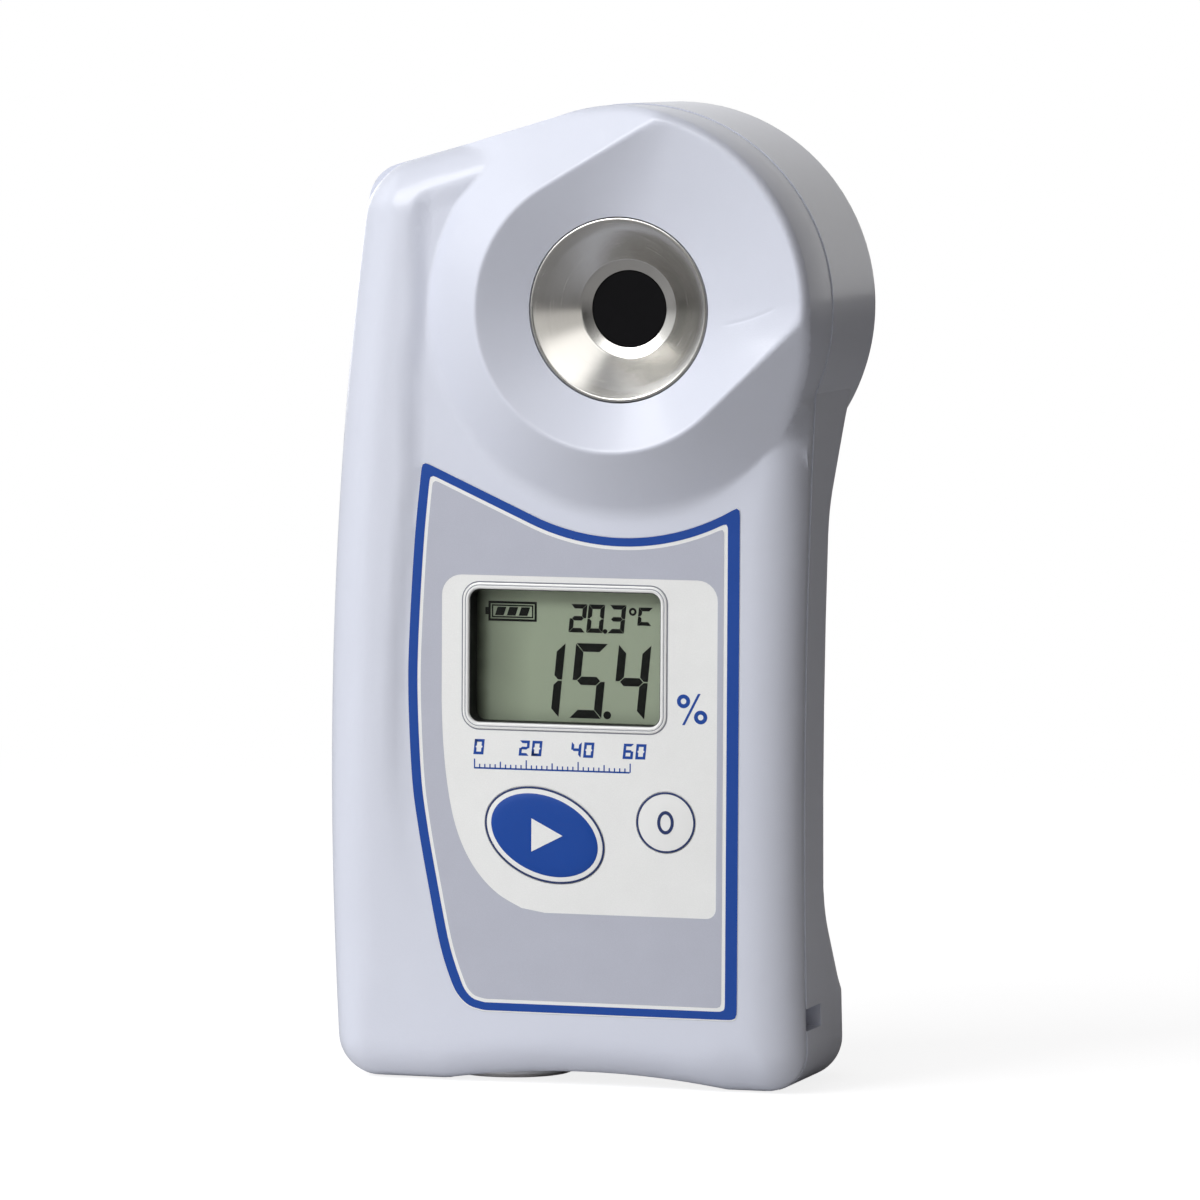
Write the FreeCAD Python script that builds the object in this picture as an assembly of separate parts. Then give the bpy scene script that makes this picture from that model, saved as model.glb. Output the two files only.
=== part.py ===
import FreeCAD, Part
import math
import os

# Hand-held digital refractometer, upright on z = 0, front towards -Y. All sizes in millimetres.

V = FreeCAD.Vector

# Overall size of the case
width = 57.6
depth = 31.0
height = 109.0

# Case shell
case_wall = 2.0
back_wall = 1.5
head_radius = 22.6
crest_height = 5.6
front_depth = 4.6
side_bow_radius = 490.0
widest_z = 36.0
right_inset_top = 1.85
right_inset_middle = 2.85
right_inset_foot = 2.2
right_middle_z = 33.0
shoulder_slope = 15.8
shoulder_dip = 0.05
corner_round = 4.5
front_round = 4.4
back_side_round = 7.0
head_back_round = 3.4
end_thickening = 1.3
foot_left_width = 8.0
foot_right_width = 4.5
arch_rise = 1.3

# Waist at the back, as heights above the base
hump_top_z = 10.5
hump_ramp_z = 21.0
waist_top_z = 63.0
ramp_top_z = 76.5
ramp_hollow_round = 6.0
ramp_crest_round = 8.5

# Round dish in the head, with a scoop that opens towards the upper right
dish_radius = 15.1
crest_land = 0.6
scoop_radius = 21.2
scoop_direction = 37.0
scoop_half_angle = 39.0
dish_floor_depth = 3.2

# Steel sample stage and prism
stage_radius = 10.15
stage_fit = 0.1
stage_flange = 1.9
stage_flange_thickness = 1.0
cone_rim = 0.4
cone_foot_radius = 5.4
well_depth = 4.4
bevel_depth = 0.35
prism_radius = 4.17
prism_fit = 0.06
prism_neck = 2.6
prism_base_length = 15.0
prism_base_width = 9.0
prism_base_depth = 4.2
seal_section = 0.9
seal_edge_gap = 0.25
retainer_radius = 13.0
retainer_bore = 6.3
bead_radius = 0.9
bead_length = 3.2
bead_offset = 9.6

# Optics behind the prism
optics_half_width = 7.0
light_tilt = 30.0
light_length = 11.0
light_bore = 4.0
light_wall = 1.0
lens_thickness = 2.0
lens_place = 7.0
optics_ear_reach = 12.2
optics_ear_low = 9.0
optics_ear_high = 13.2
optics_ear_thickness = 1.4
optics_post_radius = 1.8
optics_screw_radius = 0.7
small_board = 0.8
small_board_side_gap = 0.5
led_radius = 1.6
led_height = 1.4
led_dome = 1.25
sensor_half_length = 3.4
sensor_half_width = 1.2
sensor_height = 1.1
lens_fit = 0.02
lens_bow = 2.2
ribbon_width = 8.0
ribbon_thickness = 0.25
ribbon_bend = 1.5
ribbon_lift = 0.6
ribbon_plug = 5.0

# Display
window_width = 22.05
window_height = 14.8
window_centre_x = -0.475
window_below_head = 38.6
window_corner = 1.2
bezel_margin = 0.9
bezel_proud = 0.12
bezel_depth = 1.3
window_thickness = 0.8
window_seat = 0.4
lcd_thickness = 1.5
lcd_margin = 1.0
lcd_depth = 2.6
lcd_frame_wall = 1.0
zebra_height = 1.6

# Printed front film
overlay_thickness = 0.4
overlay_right_x = 19.65
overlay_left_x = -18.85
overlay_bottom_z = 8.2
overlay_bulge_drop = 40.4
overlay_top_left_x = -17.2
overlay_corner_drop = 17.0
overlay_hip_x = -16.4
overlay_hip_z = 22.6
overlay_heel_x = -12.2
overlay_head_gap = 2.6
overlay_edge_gap = 0.1
overlay_corner = 1.0

# Keys
start_length = 14.4
start_breadth = 10.1
start_tilt = -21.4
start_x = -2.65
start_below_window = 19.75
zero_radius = 3.4
zero_x = 11.3
zero_below_window = 17.9
key_gap = 0.15
key_proud = 0.1
key_flange = 0.9
key_flange_thickness = 0.6
key_travel = 0.4
plunger_radius = 1.0
plunger_gap = 0.1
switch_size = 5.0
switch_height = 1.2

# Circuit board
board_gap = 2.4
board_thickness = 1.0
board_left_x = -19.5
board_right_x = 21.0
board_bottom_z = 13.0
board_top_z = 60.0
board_post_inset = 2.2
board_post_radius = 2.0
board_screw_radius = 0.8
board_screw_head = 1.5
chip_size = 8.0
chip_height = 1.0
chip_x = 12.0
chip_z = 38.0
small_part_pitch = 4.5
small_part_inset = 4.0
small_parts = [(2.0, 1.2, 0.8), (3.0, 2.0, 1.2), (2.4, 1.6, 1.0), (2.0, 1.2, 0.8), (3.2, 1.5, 1.0)]
screw_tip_gap = 0.5
screw_hole_gap = 0.2

# Two AAA cells in line, their tube and the coin-turned cap below them
cell_radius = 5.25
cell_length = 44.5
cell_nub_radius = 1.9
cell_nub_height = 0.8
cell_gap = 0.2
cell_rim_round = 0.5
tube_wall = 0.7
tube_flat = 0.35
contact_strip_width = 1.0
contact_strip_end = 2.0
battery_from_head = 16.0
battery_back_gap = 0.25
battery_board_gap = 1.0
battery_start_z = 7.4
collar_radius = 8.2
collar_height = 5.2
collar_base_z = 0.8
cap_radius = 7.0
cap_bottom_z = 0.2
cap_thickness = 1.6
cap_fit = 0.15
cap_plug_radius = 5.9
cap_plug_height = 3.0
coin_slot_width = 1.8
coin_slot_depth = 0.8
cap_edge_round = 0.5
coin_slot_reach = 5.0
carrier_radius = 4.6
carrier_height = 0.8
spring_foot_radius = 3.2
contact_thickness = 0.3

# Case screws from the back
screw_foot_inset = 6.0
screw_foot_z = 9.0
screw_right_offset = 7.3
screw_right_z = 8.0
screw_top_inset = 9.0
screw_top_rise = 6.6
screw_side_reach = 17.0
screw_side_drop = 3.0
screw_head_radius = 1.9
screw_head_height = 1.3
screw_shank_radius = 1.0
screw_boss_radius = 3.0
screw_recess = 3.0
screw_clearance = 0.15
cross_reach = 0.55
cross_width = 0.26
cross_depth = 0.3

# Rubber cord between the two shells
case_seal_width = 0.7
case_seal_height = 0.9

# Strap slot in the lower right corner
strap_slot_height = 2.5
strap_slot_width = 5.9
strap_slot_z = 6.8
strap_bar = 3.4
strap_wall = 1.6

post_bury = 1.0
touch_gap = 0.05

# Places that follow from the sizes above
left_x = -width / 2
right_x = width / 2
front_y = -depth / 2
back_y = depth / 2
head_x = right_x - head_radius
head_z = height - head_radius
label_y = front_y + crest_height
part_y = label_y + front_depth
inner_front_y = label_y + case_wall
dish_floor_y = front_y + dish_floor_depth
stage_rim_y = dish_floor_y
prism_face_y = stage_rim_y + well_depth
stage_back_y = inner_front_y + seal_section + stage_flange_thickness
prism_base_y = prism_face_y + prism_neck
board_y = inner_front_y + board_gap
board_back_y = board_y + board_thickness
battery_x = head_x - battery_from_head
battery_y = board_back_y + battery_board_gap + cell_radius - tube_flat
waist_y = battery_y + cell_radius + battery_back_gap + back_wall
window_centre_z = head_z - window_below_head
start_z = window_centre_z - start_below_window
zero_z = window_centre_z - zero_below_window
overlay_top_left_z = head_z - overlay_corner_drop
overlay_bulge_z = head_z - overlay_bulge_drop
lcd_y = label_y + lcd_depth
left_centre_x = left_x + side_bow_radius
side_top_z = head_z - head_radius / 3
light_y = math.sin(math.radians(light_tilt))
light_z = math.cos(math.radians(light_tilt))
facet_fall = prism_base_depth * math.tan(math.radians(light_tilt))
facet_y = prism_base_y + prism_base_depth / 2
facet_z = (prism_base_length - facet_fall) / 2


def box(x0, x1, y0, y1, z0, z1):
    return Part.makeBox(x1 - x0, y1 - y0, z1 - z0, V(x0, y0, z0))


def rod_y(x, z, radius, y0, y1):
    return Part.makeCylinder(radius, y1 - y0, V(x, y0, z), V(0, 1, 0))


def rod_z(x, y, radius, z0, z1):
    return Part.makeCylinder(radius, z1 - z0, V(x, y, z0), V(0, 0, 1))


def line(a, b):
    return Part.LineSegment(a, b).toShape()


def arc(a, b, c):
    return Part.Arc(a, b, c).toShape()


def slab(edges, y0, y1):
    """Extrude a closed outline drawn in the XZ plane from y0 to y1."""
    face = Part.Face(Part.Wire(edges))
    face.translate(V(0, y0, 0))
    return face.extrude(V(0, y1 - y0, 0))


def polygon(points):
    return [line(a, b) for a, b in zip(points, points[1:] + points[:1])]


def turned(profile, x, z):
    """Turn a closed (radius, y) profile about a Y axis through x, z."""
    points = [V(x + radius, y, z) for radius, y in profile]
    face = Part.Face(Part.Wire(polygon(points)))
    return face.revolve(V(x, 0, z), V(0, 1, 0), 360)


def rounded_rectangle(cx, cz, w, h, radius):
    """Edges of a rectangle with round corners in the XZ plane."""
    x0, x1, z0, z1 = cx - w / 2, cx + w / 2, cz - h / 2, cz + h / 2
    k = radius * (1 - math.sqrt(0.5))
    p = [
        V(x0 + radius, 0, z0), V(x1 - radius, 0, z0), V(x1, 0, z0 + radius), V(x1, 0, z1 - radius),
        V(x1 - radius, 0, z1), V(x0 + radius, 0, z1), V(x0, 0, z1 - radius), V(x0, 0, z0 + radius),
    ]
    return [
        line(p[0], p[1]), arc(p[1], V(x1 - k, 0, z0 + k), p[2]),
        line(p[2], p[3]), arc(p[3], V(x1 - k, 0, z1 - k), p[4]),
        line(p[4], p[5]), arc(p[5], V(x0 + k, 0, z1 - k), p[6]),
        line(p[6], p[7]), arc(p[7], V(x0 + k, 0, z0 + k), p[0]),
    ]


def ellipse(cx, cz, length, breadth, tilt):
    """One closed ellipse edge in the XZ plane, its long axis tilted from +X towards +Z."""
    turn = math.radians(tilt)
    major = V(math.cos(turn), 0, math.sin(turn))
    minor = V(-math.sin(turn), 0, math.cos(turn))
    centre = V(cx, 0, cz)
    curve = Part.Ellipse(centre + major * (length / 2), centre + minor * (breadth / 2), centre)
    return [curve.toShape()]


def polar(radius, degrees):
    """A point in the XZ plane at an angle about the head's axis."""
    a = math.radians(degrees)
    return V(head_x + radius * math.cos(a), 0, head_z + radius * math.sin(a))


def left_edge_x(z):
    return left_centre_x - math.sqrt(side_bow_radius ** 2 - (z - widest_z) ** 2)


def body_outline(drawn_in):
    """Body seen from the front, with sharp corners; its upper right ends inside the head.

    It stands on two feet with an arch between. Drawn in at both ends, its base is straight.
    """
    slope = math.radians(shoulder_slope)
    along = V(math.cos(slope), 0, math.sin(slope))
    inward = V(math.sin(slope), 0, -math.cos(slope))
    shoulder_end = polar(head_radius - shoulder_dip, 90 + shoulder_slope) + inward * drawn_in
    centre = V(left_centre_x, 0, widest_z)
    reach = shoulder_end - centre
    b = reach.dot(along)
    run = b + math.sqrt(b * b - reach.dot(reach) + side_bow_radius ** 2)
    top_left = shoulder_end - along * run
    bottom_left = V(left_edge_x(drawn_in), 0, drawn_in)
    bottom_right = V(right_x - right_inset_foot, 0, drawn_in)
    side_top = V(right_x - right_inset_top, 0, side_top_z)
    foot_left = V(bottom_left.x + corner_round + foot_left_width, 0, 0)
    foot_right = V(bottom_right.x - corner_round - foot_right_width, 0, 0)
    arch = V((foot_left.x + foot_right.x) / 2, 0, arch_rise)
    base = [line(bottom_left, foot_left), arc(foot_left, arch, foot_right), line(foot_right, bottom_right)]
    if drawn_in:
        base = [line(bottom_left, bottom_right)]
    return base + [
        arc(bottom_right, V(right_x - right_inset_middle, 0, right_middle_z), side_top),
        line(side_top, shoulder_end),
        line(shoulder_end, top_left),
        arc(top_left, V(left_x, 0, widest_z), bottom_left),
    ]


def outline_face(inset):
    if not inset:
        return Part.Face(Part.Wire(body_outline(0)))
    return Part.Face(Part.Wire(body_outline(end_thickening))).makeOffset2D(-inset)


def middle(edge):
    return edge.valueAt((edge.FirstParameter + edge.LastParameter) / 2)


def along_y(edge):
    a, b = edge.Vertexes[0].Point, edge.Vertexes[-1].Point
    return abs(a.x - b.x) < 0.01 and abs(a.z - b.z) < 0.01


def from_head(point):
    return math.hypot(point.x - head_x, point.z - head_z)


def outer_corners(solid):
    """The three long corners of the body that run along Y: top left, bottom left, bottom right."""
    box_of = solid.BoundBox
    found = []
    for edge in solid.Edges:
        m = middle(edge)
        at_foot = m.z < box_of.ZMin + 1 and (m.x < box_of.XMin + 4 or m.x > box_of.XMax - 3)
        at_top = m.x < box_of.XMin + 8 and m.z > box_of.ZMax - 12
        if along_y(edge) and (at_foot or at_top):
            found.append(edge)
    return found


def front_body(inset):
    """Front part of the body without the head, from the parting plane to the label plane."""
    face = outline_face(inset)
    face.translate(V(0, part_y, 0))
    plane_y = label_y + inset
    solid = face.extrude(V(0, plane_y - part_y, 0))
    solid = solid.makeFillet(corner_round - inset, outer_corners(solid))
    front = [e for e in solid.Edges if abs(middle(e).y - plane_y) < 0.01]
    rim = [e for e in front if from_head(middle(e)) > head_radius * 0.8]
    return solid.makeFillet(front_round - inset, rim)


def waist_tool(inset):
    """What the waist takes away from the back, with soft ramps to the head and to the foot."""
    y0, y1 = waist_y - inset, back_y + 10
    x0, x1 = left_x - 5, right_x + 5
    low_z, high_z = hump_top_z - inset, ramp_top_z + inset
    points = [
        V(x0, y1, low_z), V(x0, back_y - inset, low_z), V(x0, y0, hump_ramp_z - inset),
        V(x0, y0, waist_top_z + inset), V(x0, back_y - inset, high_z), V(x0, y1, high_z),
    ]
    face = Part.Face(Part.Wire(polygon(points)))
    tool = face.extrude(V(x1 - x0, 0, 0))
    across = [e for e in tool.Edges if abs(middle(e).x - (x0 + x1) / 2) < 1]
    low = [e for e in across if middle(e).y < y0 + 0.01]
    tool = tool.makeFillet(ramp_hollow_round + inset, low)
    across = [e for e in tool.Edges if abs(middle(e).x - (x0 + x1) / 2) < 1]
    high = [e for e in across if abs(middle(e).y - back_y + inset) < 0.01]
    return tool.makeFillet(ramp_crest_round - inset, high)


def on_side(edge):
    """True for a back edge of the left or the right side wall."""
    m = middle(edge)
    if along_y(edge) or m.y < part_y + 1 or from_head(m) < head_radius * 0.8:
        return False
    a, b = edge.Vertexes[0].Point, edge.Vertexes[-1].Point
    return abs(a.x - b.x) < 4 and abs(a.z - b.z) > 0.3


def back_body(inset):
    """Back part of the body without the head, from the parting plane to the back plane."""
    face = outline_face(inset)
    face.translate(V(0, part_y, 0))
    plane_y = back_y - inset
    solid = face.extrude(V(0, plane_y - part_y, 0)).cut(waist_tool(inset))
    solid = solid.makeFillet(back_side_round - inset, [e for e in solid.Edges if on_side(e)])
    if inset:
        return solid
    ends = []
    for edge in solid.Edges:
        m = middle(edge)
        corner = along_y(edge) and (m.x < left_x + 5 or m.x > right_x - 4)
        at_foot = m.z < arch_rise + 0.2 and (corner or not along_y(edge))
        at_top = from_head(m) > head_radius + 0.2 and m.z > head_z + 8 and m.x < head_x - 4
        if m.y > part_y + 0.1 and (at_foot or (at_top and not on_side(edge))):
            ends.append(edge)
    return solid.makeFillet(corner_round, ends)


def back_drum(inset):
    """Back part of the round head, rounded at its rim outside and square inside."""
    drum = rod_y(head_x, head_z, head_radius - inset, part_y, back_y - inset)
    if not inset:
        drum = drum.makeFillet(head_back_round, [e for e in drum.Edges if middle(e).y > back_y - 0.01])
    return drum.cut(waist_tool(inset))


def back_space(inset):
    return back_body(inset).fuse(back_drum(inset)).removeSplitter()


def front_space(inset):
    drum = rod_y(head_x, head_z, head_radius - inset, label_y + inset, part_y)
    return front_body(inset).fuse(drum)


def dish_outline(grow, y):
    """Round dish outline with straight flanks up to the wider scoop arc, grown evenly."""
    near, far = dish_radius + grow, scoop_radius + grow
    flank = scoop_half_angle + math.degrees(math.acos(dish_radius / scoop_radius))
    cusp = flank - math.degrees(math.acos(near / far))
    a, b = polar(near, scoop_direction + flank), polar(near, scoop_direction - flank)
    c, d = polar(far, scoop_direction - cusp), polar(far, scoop_direction + cusp)
    round_side = arc(a, polar(near, scoop_direction + 180), b)
    wire = Part.Wire([round_side, line(b, c), arc(c, polar(far, scoop_direction), d), line(d, a)])
    wire.translate(V(0, y, 0))
    return wire


def dish_floor(radius, y):
    """A circle cut into the same four stretches as the dish outline."""
    flank = scoop_half_angle + math.degrees(math.acos(dish_radius / scoop_radius))
    marks = [flank, 360 - flank, 360 - scoop_half_angle, 360 + scoop_half_angle, 360 + flank]
    edges = []
    for low, high in zip(marks, marks[1:]):
        angles = [scoop_direction + k for k in (low, (low + high) / 2, high)]
        edges.append(arc(*[polar(radius, k) for k in angles]))
    wire = Part.Wire(edges)
    wire.translate(V(0, y, 0))
    return wire


def head_boss():
    """The sloped collar round the dish: a crest at the front, falling to the label plane."""
    fall = head_radius - dish_radius - crest_land
    crest, foot = dish_outline(crest_land, front_y), dish_outline(crest_land + fall, label_y)
    slope = Part.makeLoft([crest, foot], True, True)
    boss = slope.common(rod_y(head_x, head_z, head_radius, front_y, label_y))
    floor_radius = stage_radius + stage_fit
    dish = Part.makeLoft([dish_outline(0, front_y), dish_floor(floor_radius, dish_floor_y)], True, True)
    return boss, dish


def overlay_outline(grow):
    """Printed field: bowed left edge, straight right and bottom edges, top edge round the head."""
    reach = head_radius + overlay_head_gap
    corner = V(overlay_top_left_x, 0, overlay_top_left_z)
    dx, dz = corner.x - head_x, corner.z - head_z
    bearing = math.degrees(math.atan2(dz, dx)) % 360
    touch = bearing + math.degrees(math.acos(reach / math.hypot(dx, dz)))
    right_angle = -math.degrees(math.acos((overlay_right_x - head_x) / reach))
    tangent = polar(reach, touch)
    right_top = polar(reach, right_angle)
    right_foot = V(overlay_right_x, 0, overlay_bottom_z)
    heel = V(overlay_heel_x, 0, overlay_bottom_z)
    hip = V(overlay_hip_x, 0, overlay_hip_z)
    lowest = polar(reach, (touch - 360 + right_angle) / 2)
    edges = [
        arc(corner, V(overlay_left_x, 0, overlay_bulge_z), hip),
        line(hip, heel), line(heel, right_foot), line(right_foot, right_top),
        arc(right_top, lowest, tangent), line(tangent, corner),
    ]
    face = Part.Face(Part.Wire(edges))
    if grow:
        face = face.makeOffset2D(grow, 2)
    return face


def overlay_block(grow, y0, y1):
    face = overlay_outline(grow)
    face.translate(V(0, y0, 0))
    solid = face.extrude(V(0, y1 - y0, 0))
    sharp = []
    for edge in solid.Edges:
        m = middle(edge)
        at_foot, at_right = m.z < overlay_bottom_z + 0.5, m.x > overlay_right_x - 0.5
        if along_y(edge) and (at_foot or at_right or m.z > overlay_top_left_z - 0.5):
            sharp.append(edge)
    return solid.makeFillet(overlay_corner, sharp)


def window_block(grow, y0, y1):
    w, h = window_width + 2 * grow, window_height + 2 * grow
    return slab(rounded_rectangle(window_centre_x, window_centre_z, w, h, window_corner + grow), y0, y1)


def start_block(grow, y0, y1):
    w, h = start_length + 2 * grow, start_breadth + 2 * grow
    return slab(ellipse(start_x, start_z, w, h, start_tilt), y0, y1)


def zero_block(grow, y0, y1):
    return rod_y(zero_x, zero_z, zero_radius + grow, y0, y1)


# Places of the case screws, seen from the front
screw_places = [
    (left_x + screw_foot_inset, screw_foot_z),
    (head_x + screw_right_offset, screw_right_z),
    (left_x + screw_top_inset, head_z + screw_top_rise),
    (head_x + screw_side_reach, head_z - screw_side_drop),
]
board_posts = [
    (x, z)
    for x in (board_left_x + board_post_inset, board_right_x - board_post_inset)
    for z in (board_bottom_z + board_post_inset, board_top_z - board_post_inset)
]
optics_screw_reach = optics_ear_reach - board_post_inset
optics_screw_rise = (optics_ear_low + optics_ear_high) / 2
optics_posts = [
    (x, z)
    for x in (head_x - optics_screw_reach, head_x + optics_screw_reach)
    for z in (head_z - optics_screw_rise, head_z + optics_screw_rise)
]
recess_y = back_y - screw_recess
bezel_y = label_y - bezel_proud
ledge_y = bezel_y + bezel_depth
tube_radius = cell_radius + cell_gap + tube_wall
collar_top_z = collar_base_z + collar_height
cells_top_z = battery_start_z + 2 * cell_length
slot_inner_x = right_x - right_inset_foot - strap_bar - strap_slot_height
slot_end_y = part_y + strap_slot_width


def front_case():
    shell = front_space(0)
    boss, dish = head_boss()
    shell = shell.fuse(boss).removeSplitter()
    shell = shell.cut(front_space(case_wall))
    post_y = label_y + post_bury
    posts = [rod_y(x, z, screw_boss_radius, post_y, part_y) for x, z in screw_places]
    posts += [rod_y(x, z, board_post_radius, post_y, board_y) for x, z in board_posts]
    posts += [rod_y(x, z, optics_post_radius, post_y, prism_base_y) for x, z in optics_posts]
    shell = shell.fuse(posts)
    cuts = [dish, rod_y(head_x, head_z, stage_radius + stage_fit, dish_floor_y - 1, inner_front_y + 1)]
    cuts.append(overlay_block(overlay_edge_gap, label_y - 1, label_y + overlay_thickness))
    cuts.append(window_block(bezel_margin + overlay_edge_gap, label_y - 1, ledge_y))
    cuts.append(window_block(0, label_y - 1, inner_front_y + 1))
    cuts.append(start_block(key_gap, label_y - 1, inner_front_y + 1))
    cuts.append(zero_block(key_gap, label_y - 1, inner_front_y + 1))
    cuts.append(rod_z(battery_x, battery_y, collar_radius + overlay_edge_gap, -1, collar_top_z))
    hole_y = inner_front_y + screw_hole_gap
    for x, z in screw_places:
        cuts.append(rod_y(x, z, screw_shank_radius + touch_gap, hole_y, part_y + 1))
    for x, z in board_posts:
        cuts.append(rod_y(x, z, board_screw_radius + touch_gap, hole_y, board_y + 1))
    for x, z in optics_posts:
        cuts.append(rod_y(x, z, optics_screw_radius + touch_gap, hole_y, prism_base_y + 1))
    return shell.cut(cuts)


def back_case():
    outside = back_space(0)
    shell = outside.cut(back_space(back_wall))
    bosses = [rod_y(x, z, screw_boss_radius, part_y, back_y) for x, z in screw_places]
    shell = shell.fuse([piece.common(outside) for piece in bosses + [strap_block(0)]])
    top_z = strap_slot_z + strap_slot_height
    cuts = [
        box(slot_inner_x, right_x + 1, part_y - 1, slot_end_y, strap_slot_z, top_z),
        box(slot_inner_x, slot_inner_x + strap_slot_height, part_y - 1, slot_end_y, -1, top_z),
        rod_z(battery_x, battery_y, collar_radius + overlay_edge_gap, -1, collar_top_z),
    ]
    for x, z in screw_places:
        cuts.append(rod_y(x, z, screw_shank_radius + touch_gap, part_y - 1, back_y))
        cuts.append(rod_y(x, z, screw_head_radius + screw_clearance, recess_y, back_y + 1))
    return shell.cut(cuts)


def seam_slab(inset, y0, y1):
    """Slice of the case outline with its round corners and its head."""
    face = outline_face(inset)
    face.translate(V(0, y0, 0))
    slice_of_body = face.extrude(V(0, y1 - y0, 0))
    slice_of_body = slice_of_body.makeFillet(corner_round - inset, outer_corners(slice_of_body))
    return slice_of_body.fuse(rod_y(head_x, head_z, head_radius - inset, y0, y1))


def case_seal():
    """Rubber cord inside the back shell, lying on the thicker rim of the front shell."""
    inner_inset = back_wall + touch_gap
    cord = seam_slab(inner_inset, part_y, part_y + case_seal_height)
    cord = cord.cut(seam_slab(inner_inset + case_seal_width, part_y - 1, part_y + case_seal_height + 1))
    collar = rod_z(battery_x, battery_y, collar_radius + overlay_edge_gap, 0, collar_top_z)
    bosses = [rod_y(x, z, screw_boss_radius + touch_gap, part_y, back_y) for x, z in screw_places]
    return cord.cut([collar, strap_block(touch_gap)] + bosses)


def strap_block(grow):
    """Solid corner of the back shell that the strap slot is cut through."""
    x0 = slot_inner_x - strap_wall - grow
    z1 = strap_slot_z + strap_slot_height + strap_wall + grow
    return box(x0, right_x, part_y, slot_end_y + strap_wall + grow, 0, z1)


def case_screws():
    screws = []
    for x, z in screw_places:
        shank = rod_y(x, z, screw_shank_radius, inner_front_y + screw_tip_gap, recess_y)
        head = rod_y(x, z, screw_head_radius, recess_y, recess_y + screw_head_height)
        screws.append(cross_recess(shank.fuse(head), x, z, recess_y + screw_head_height, screw_head_radius))
    return Part.makeCompound(screws)


def cross_recess(screw, x, z, top_y, radius):
    """Cut a cross-shaped driver recess into a screw head that faces the back."""
    reach, half, foot_y = radius * cross_reach, radius * cross_width / 2, top_y - radius * cross_depth
    screw = screw.cut(box(x - reach, x + reach, foot_y, top_y + 1, z - half, z + half))
    return screw.cut(box(x - half, x + half, foot_y, top_y + 1, z - reach, z + reach))


def overlay_sheet():
    sheet = overlay_block(0, label_y, label_y + overlay_thickness)
    sheet = sheet.cut(window_block(bezel_margin + touch_gap, label_y - 1, ledge_y))
    sheet = sheet.cut(start_block(key_gap, label_y - 1, ledge_y))
    return sheet.cut(zero_block(key_gap, label_y - 1, ledge_y))


def display_bezel():
    ring = window_block(bezel_margin, bezel_y, ledge_y)
    ring = ring.cut(window_block(window_seat + touch_gap, ledge_y - window_thickness, ledge_y))
    return ring.cut(window_block(0, bezel_y - 1, ledge_y))


def display_window():
    return window_block(window_seat, ledge_y - window_thickness, ledge_y)


def lcd_block(grow, y0, y1):
    w, h = window_width + 2 * (lcd_margin + grow), window_height + 2 * (lcd_margin + grow)
    x0, z0 = window_centre_x - w / 2, window_centre_z - h / 2
    return box(x0, x0 + w, y0, y1, z0, z0 + h)


def lcd_frame():
    frame = lcd_block(lcd_frame_wall, inner_front_y, board_y)
    frame = frame.cut(lcd_block(touch_gap, lcd_y, board_y))
    return frame.cut(window_block(0, inner_front_y - 1, lcd_y))


def zebra_strips():
    half = window_height / 2 + lcd_margin
    x0, x1 = window_centre_x - window_width / 2, window_centre_x + window_width / 2
    strips = []
    for z in (window_centre_z - half, window_centre_z + half - zebra_height):
        strips.append(box(x0, x1, lcd_y + lcd_thickness, board_y, z, z + zebra_height))
    return Part.makeCompound(strips)


def main_board():
    board = box(board_left_x, board_right_x, board_y, board_back_y, board_bottom_z, board_top_z)
    for x, z in board_posts:
        board = board.cut(rod_y(x, z, board_screw_radius + touch_gap, board_y - 1, board_back_y + 1))
    return board


def fixing_screws(places, radius, head, y_tip, y_seat):
    screws = []
    for x, z in places:
        screw = rod_y(x, z, radius, y_tip, y_seat).fuse(rod_y(x, z, head, y_seat, y_seat + radius))
        screws.append(cross_recess(screw, x, z, y_seat + radius, head))
    return Part.makeCompound(screws)


def board_screws():
    tip_y = inner_front_y + screw_tip_gap
    return fixing_screws(board_posts, board_screw_radius, board_screw_head, tip_y, board_back_y)


def optics_screws():
    tip_y, seat_y = inner_front_y + screw_tip_gap, prism_base_y + optics_ear_thickness
    return fixing_screws(optics_posts, optics_screw_radius, board_screw_head, tip_y, seat_y)


def processor_chip():
    x0, z0 = chip_x - chip_size / 2, chip_z - chip_size / 2
    return box(x0, x0 + chip_size, board_back_y, board_back_y + chip_height, z0, z0 + chip_size)


def board_parts():
    """Crystal, capacitors and resistors in a column beside the processor."""
    parts = []
    for k, (w, h, tall) in enumerate(small_parts):
        x0 = chip_x - chip_size / 2 - small_part_inset
        z0 = board_bottom_z + small_part_inset + k * small_part_pitch
        parts.append(box(x0, x0 + w, board_back_y, board_back_y + tall, z0, z0 + h))
    return Part.makeCompound(parts)


def switch_base(x, z):
    half = switch_size / 2
    base = box(x - half, x + half, board_y - switch_height, board_y, z - half, z + half)
    return base.cut(rod_y(x, z, plunger_radius + plunger_gap, board_y - switch_height - 1, board_y))


def key_cap(block):
    """Cap flush with the film, a flange behind the wall and a stem that works the switch."""
    back = inner_front_y + touch_gap
    cap = block(0, label_y - key_proud, back)
    flange = block(key_flange, back, back + key_flange_thickness)
    return cap.fuse(flange)


def key_plunger(x, z):
    y0 = inner_front_y + touch_gap + key_flange_thickness
    return rod_y(x, z, plunger_radius, y0, board_y - key_travel - touch_gap)


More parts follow.
